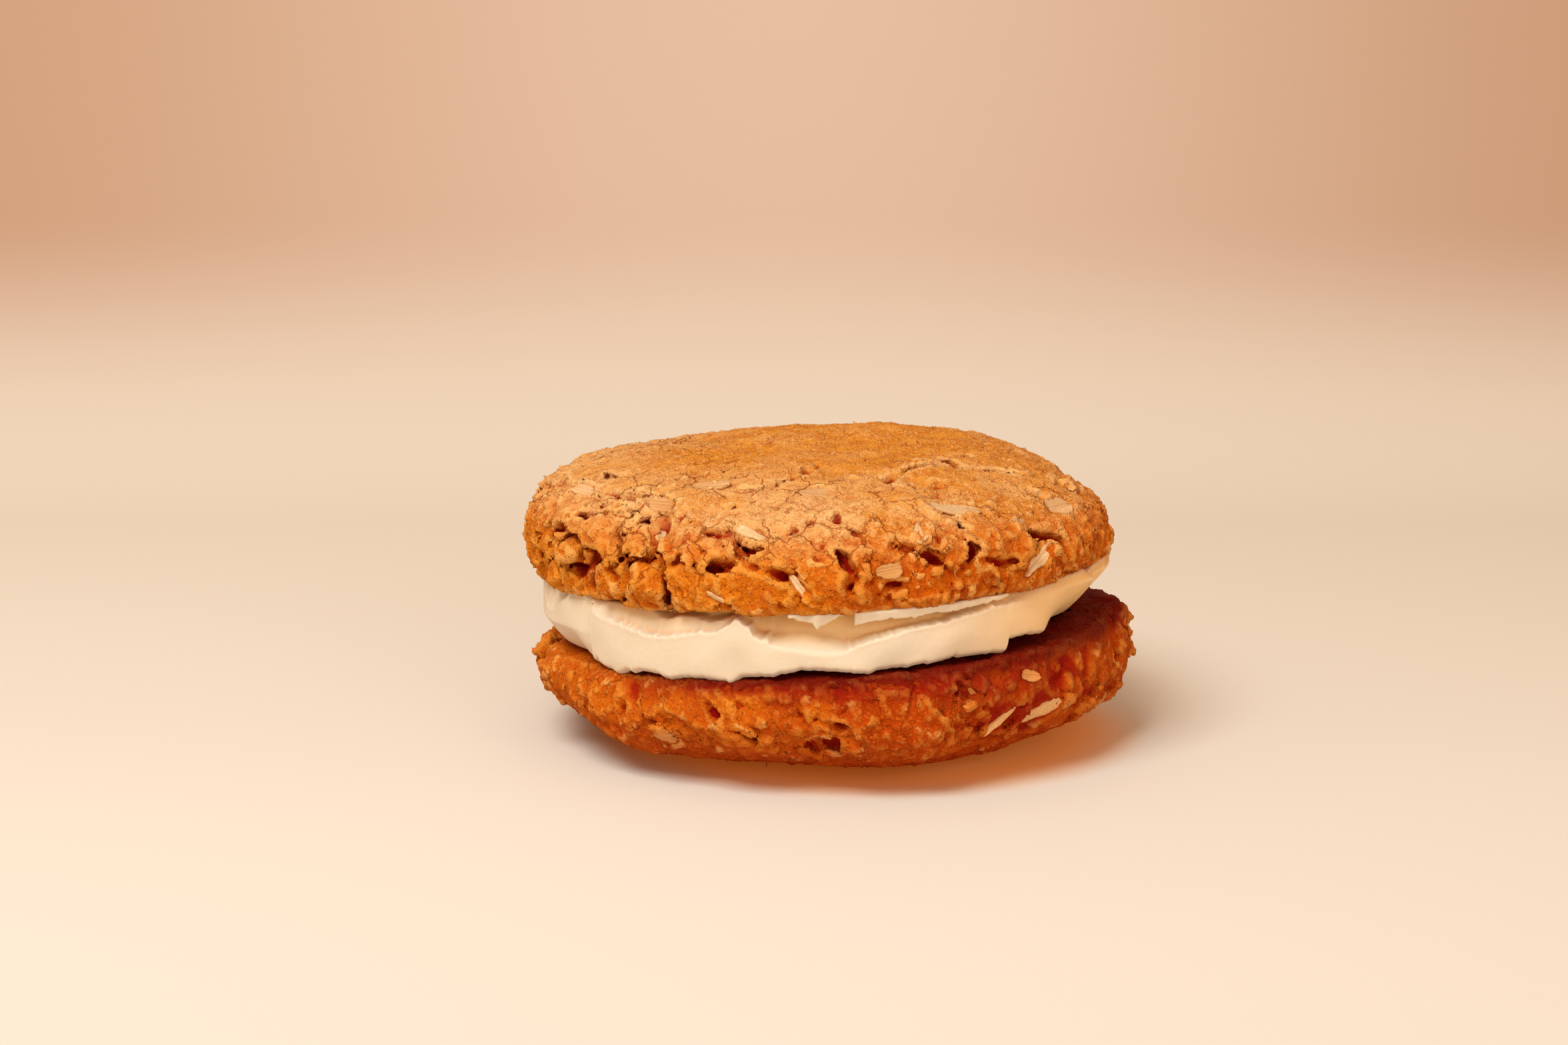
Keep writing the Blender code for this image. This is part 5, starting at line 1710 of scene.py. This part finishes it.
top_oats.data.materials.append(oat_material(
    "rolled_oat", (0.93, 0.68, 0.38, 1), (0.70, 0.31, 0.07, 1), 0.45))
bottom_oats.data.materials.append(oat_material(
    "rolled_oat_lower", (0.95, 0.60, 0.24, 1), (0.74, 0.22, 0.02, 1), 0.4))
print("oats finished")

# %% [markdown]
# ** The cream.** Butter and sugar let light in a little way, which softens every edge and
# warms the shade. The shader's subsurface does that. Painted shade makes the cream more
# orange in the hollow under the upper cookie, in small dips and on the right side, away
# from the key, and painted highlight makes its ridges paler. A very faint grain in the
# bump keeps its shine from being even.

# %% Material: cream
CREAM = (0.67, 0.57, 0.42, 1)
# Painted shade: the hollow under the upper cookie, the right side away from the key, and small
# dips; then painted highlight on ridges.
SCOOPED_SHADE = (0.88, 0.58, 0.23, 1)
SHADED_SIDE = (0.86, 0.51, 0.17, 1)
CREAM_HOLLOW_SHADE = (0.82, 0.46, 0.16, 1)
CREAM_RIDGE_LIGHT = (0.76, 0.63, 0.48, 1)

made, nodes, shader = start_material("buttercream")
hollow = nodes.group("hollows", {"Open near": nodes.read("open_near"),
                                 "Open far": nodes.read("open_far"), "Edge": 0.53})
grain = nodes.group("grain", {"Size in mm": 0.9, "Flecks": 0.0})
# Masks for painted shade: the hollow under the upper cookie, and the right side away from the key.
scooped = nodes.times(nodes.rise(nodes.read("behind"), 0.08, 0.75),
                      nodes.rise(nodes.read("share"), 0.2, 1.0))
shaded = nodes.times(nodes.rise(nodes.along("X"), 0.008, 0.036), 0.9)
colour = nodes.mix(scooped, CREAM, SCOOPED_SHADE)
colour = nodes.mix(shaded, colour, SHADED_SIDE)
# Painted shade in small dips and painted highlight on ridges.
colour = nodes.mix(nodes.times(hollow["Hollow_shade"], 0.5), colour, CREAM_HOLLOW_SHADE)
colour = nodes.mix(nodes.times(hollow["Ridge"], 0.5), colour, CREAM_RIDGE_LIGHT)
nodes.feed(shader["Base Color"], colour)
nodes.feed(shader["Roughness"], nodes.rise(grain["Tone"], -1.2, 1.6))
shader["Subsurface Weight"].default_value = 0.35
shader["Subsurface Radius"].default_value = (1.0, 0.55, 0.25)
shader["Subsurface Scale"].default_value = 1.2 * MM
nodes.feed(shader["Normal"], nodes.bump(grain["Height"], 0.04))
cream.data.materials.append(made)
print("cream finished")

# %% [markdown]
# ## Joining the pieces to their solids
#
# Each piece rides on the pie's one body and hides the solid that it stands for.

# %% Riding and replacing
for piece, node, slot in (
        (top_crumb, "top_cookie", "baked_oat_dough"),
        (top_oats, "top_cookie", "baked_oat_dough"),
        (cream, "cream_filling", "buttercream"),
        (bottom_crumb, "bottom_cookie", "baked_oat_dough_lower"),
        (bottom_oats, "bottom_cookie", "baked_oat_dough_lower")):
    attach(piece, "root")
    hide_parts(node)
    print(piece.name, "stands for", node)

# %% [markdown]
# ## Table and backdrop
#
# A pale sheet lies under the pie and curves up behind it, so that no line cuts across
# the picture. Its wall is browner, most of all at the sides, and the floor is painted a
# little darker in front, painted shade where the key lights it most. Light that goes back
# and forth between dough and sheet takes up their colour, more often than a render
# follows it, so the shadow under a real pie glows orange. Here that is painted light: the
# sheet is painted orange in a spot under the pie and gives off a little light of its own
# there.

# %% The sheet
SHEET_FLAT = 0.16  # m behind the pie where the sheet starts to rise
SHEET_BEND = 0.22  # m, the radius of the bend
SHEET_WIDTH = 3.0
SHEET_FRONT = 1.2  # m in front of the pie
SHEET_HEIGHT = 1.2
BEND_STEPS = 24
TABLE = (0.71, 0.70, 0.63, 1)
# Painted shade: the floor is darker in front, where the key lights it most.
TABLE_IN_FRONT_SHADE = (0.64, 0.63, 0.57, 1)
BACKDROP = (0.59, 0.48, 0.39, 1)
BACKDROP_ASIDE = (0.48, 0.32, 0.22, 1)
GLOW_MIDDLE = (0.005, 0, 0)
# Painted light: an orange spot on the paper under the pie, which also gives off light.
PAINTED_GLOW_SPOT = (0.92, 0.54, 0.22, 1)
PAINTED_GLOW_LIGHT = (1.0, 0.24, 0.01, 1)
GLOW_STRENGTH = 0.15
BLACK = (0, 0, 0, 1)

profile = [(-SHEET_FRONT, 0.0), (-0.6, 0.0), (-0.2, 0.0), (0.0, 0.0)]
for step in range(BEND_STEPS + 1):
    angle = math.radians(90 * step / BEND_STEPS)
    profile.append((SHEET_FLAT + SHEET_BEND * math.sin(angle),
                    SHEET_BEND * (1 - math.cos(angle))))
profile.append((SHEET_FLAT + SHEET_BEND, SHEET_HEIGHT))
corners = [(x, y, z) for y, z in profile for x in (-SHEET_WIDTH / 2, SHEET_WIDTH / 2)]
mesh = bpy.data.meshes.new("sheet")
mesh.from_pydata(corners, [], [(2 * i, 2 * i + 1, 2 * i + 3, 2 * i + 2)
                               for i in range(len(profile) - 1)])
mesh.shade_smooth()
sheet = bpy.data.objects.new("sheet", mesh)
bpy.context.scene.collection.objects.link(sheet)

made, nodes, shader = start_material("paper")
away = nodes.add("VectorMath", {0: nodes.place(), 1: GLOW_MIDDLE},
                 operation="DISTANCE").outputs["Value"]
floor = nodes.mix(nodes.rise(nodes.along("Y"), -0.06, -0.22), TABLE, TABLE_IN_FRONT_SHADE)
aside = nodes.rise(nodes.math("ABSOLUTE", nodes.along("X")), 0.0, 0.22)
back = nodes.mix(aside, BACKDROP, BACKDROP_ASIDE)
colour = nodes.mix(nodes.rise(nodes.along("Z"), 0.0, 0.05), floor, back)
# Painted light under the pie: an orange spot that glows.
colour = nodes.mix(nodes.rise(away, 0.040, 0.028), colour, PAINTED_GLOW_SPOT)
nodes.feed(shader["Base Color"], colour)
shader["Roughness"].default_value = 0.8
nodes.feed(shader["Emission Color"],
           nodes.mix(nodes.rise(away, 0.041, 0.028), BLACK, PAINTED_GLOW_LIGHT))
shader["Emission Strength"].default_value = GLOW_STRENGTH
sheet.data.materials.append(made)
print("the sheet rises from", SHEET_FLAT, "m behind the pie")

# %% [markdown]
# ## Light
#
# The photo's shadow falls to the right and is soft at its edge. So the key is a lamp
# 40 cm wide, high on the left in front. A weaker and broader one low in front on the
# right opens the shade, and a warm sky lights the rest.


# %% Lamps and sky
SKY_COLOUR = (1.0, 0.58, 0.31, 1)
SKY_STRENGTH = 0.66


def soft_lamp(name, place, aim, size, power, colour):
    """A square lamp at a place, turned to what it is aimed at, all in metres."""
    light = bpy.data.lights.new(name, "AREA")
    light.size = size
    light.energy = power
    light.color = colour
    lamp = bpy.data.objects.new(name, light)
    lamp.location = place
    direction = Vector(aim) - Vector(place)
    lamp.rotation_euler = direction.to_track_quat("-Z", "Y").to_euler()
    bpy.context.scene.collection.objects.link(lamp)


soft_lamp("key", place=(-0.26, -0.42, 0.66), aim=(0, 0, 0.02), size=0.4, power=5.7,
          colour=(1.0, 1.0, 0.98))
soft_lamp("fill", place=(0.30, -0.75, 0.15), aim=(0, 0, 0.01), size=0.6, power=2.5,
          colour=(1.0, 0.98, 0.95))
sky = bpy.data.worlds.new("sky")
bpy.context.scene.world = sky
sky.use_nodes = True
background = sky.node_tree.nodes["Background"]
background.inputs["Color"].default_value = SKY_COLOUR
background.inputs["Strength"].default_value = SKY_STRENGTH
bpy.context.scene.view_settings.view_transform = "Standard"
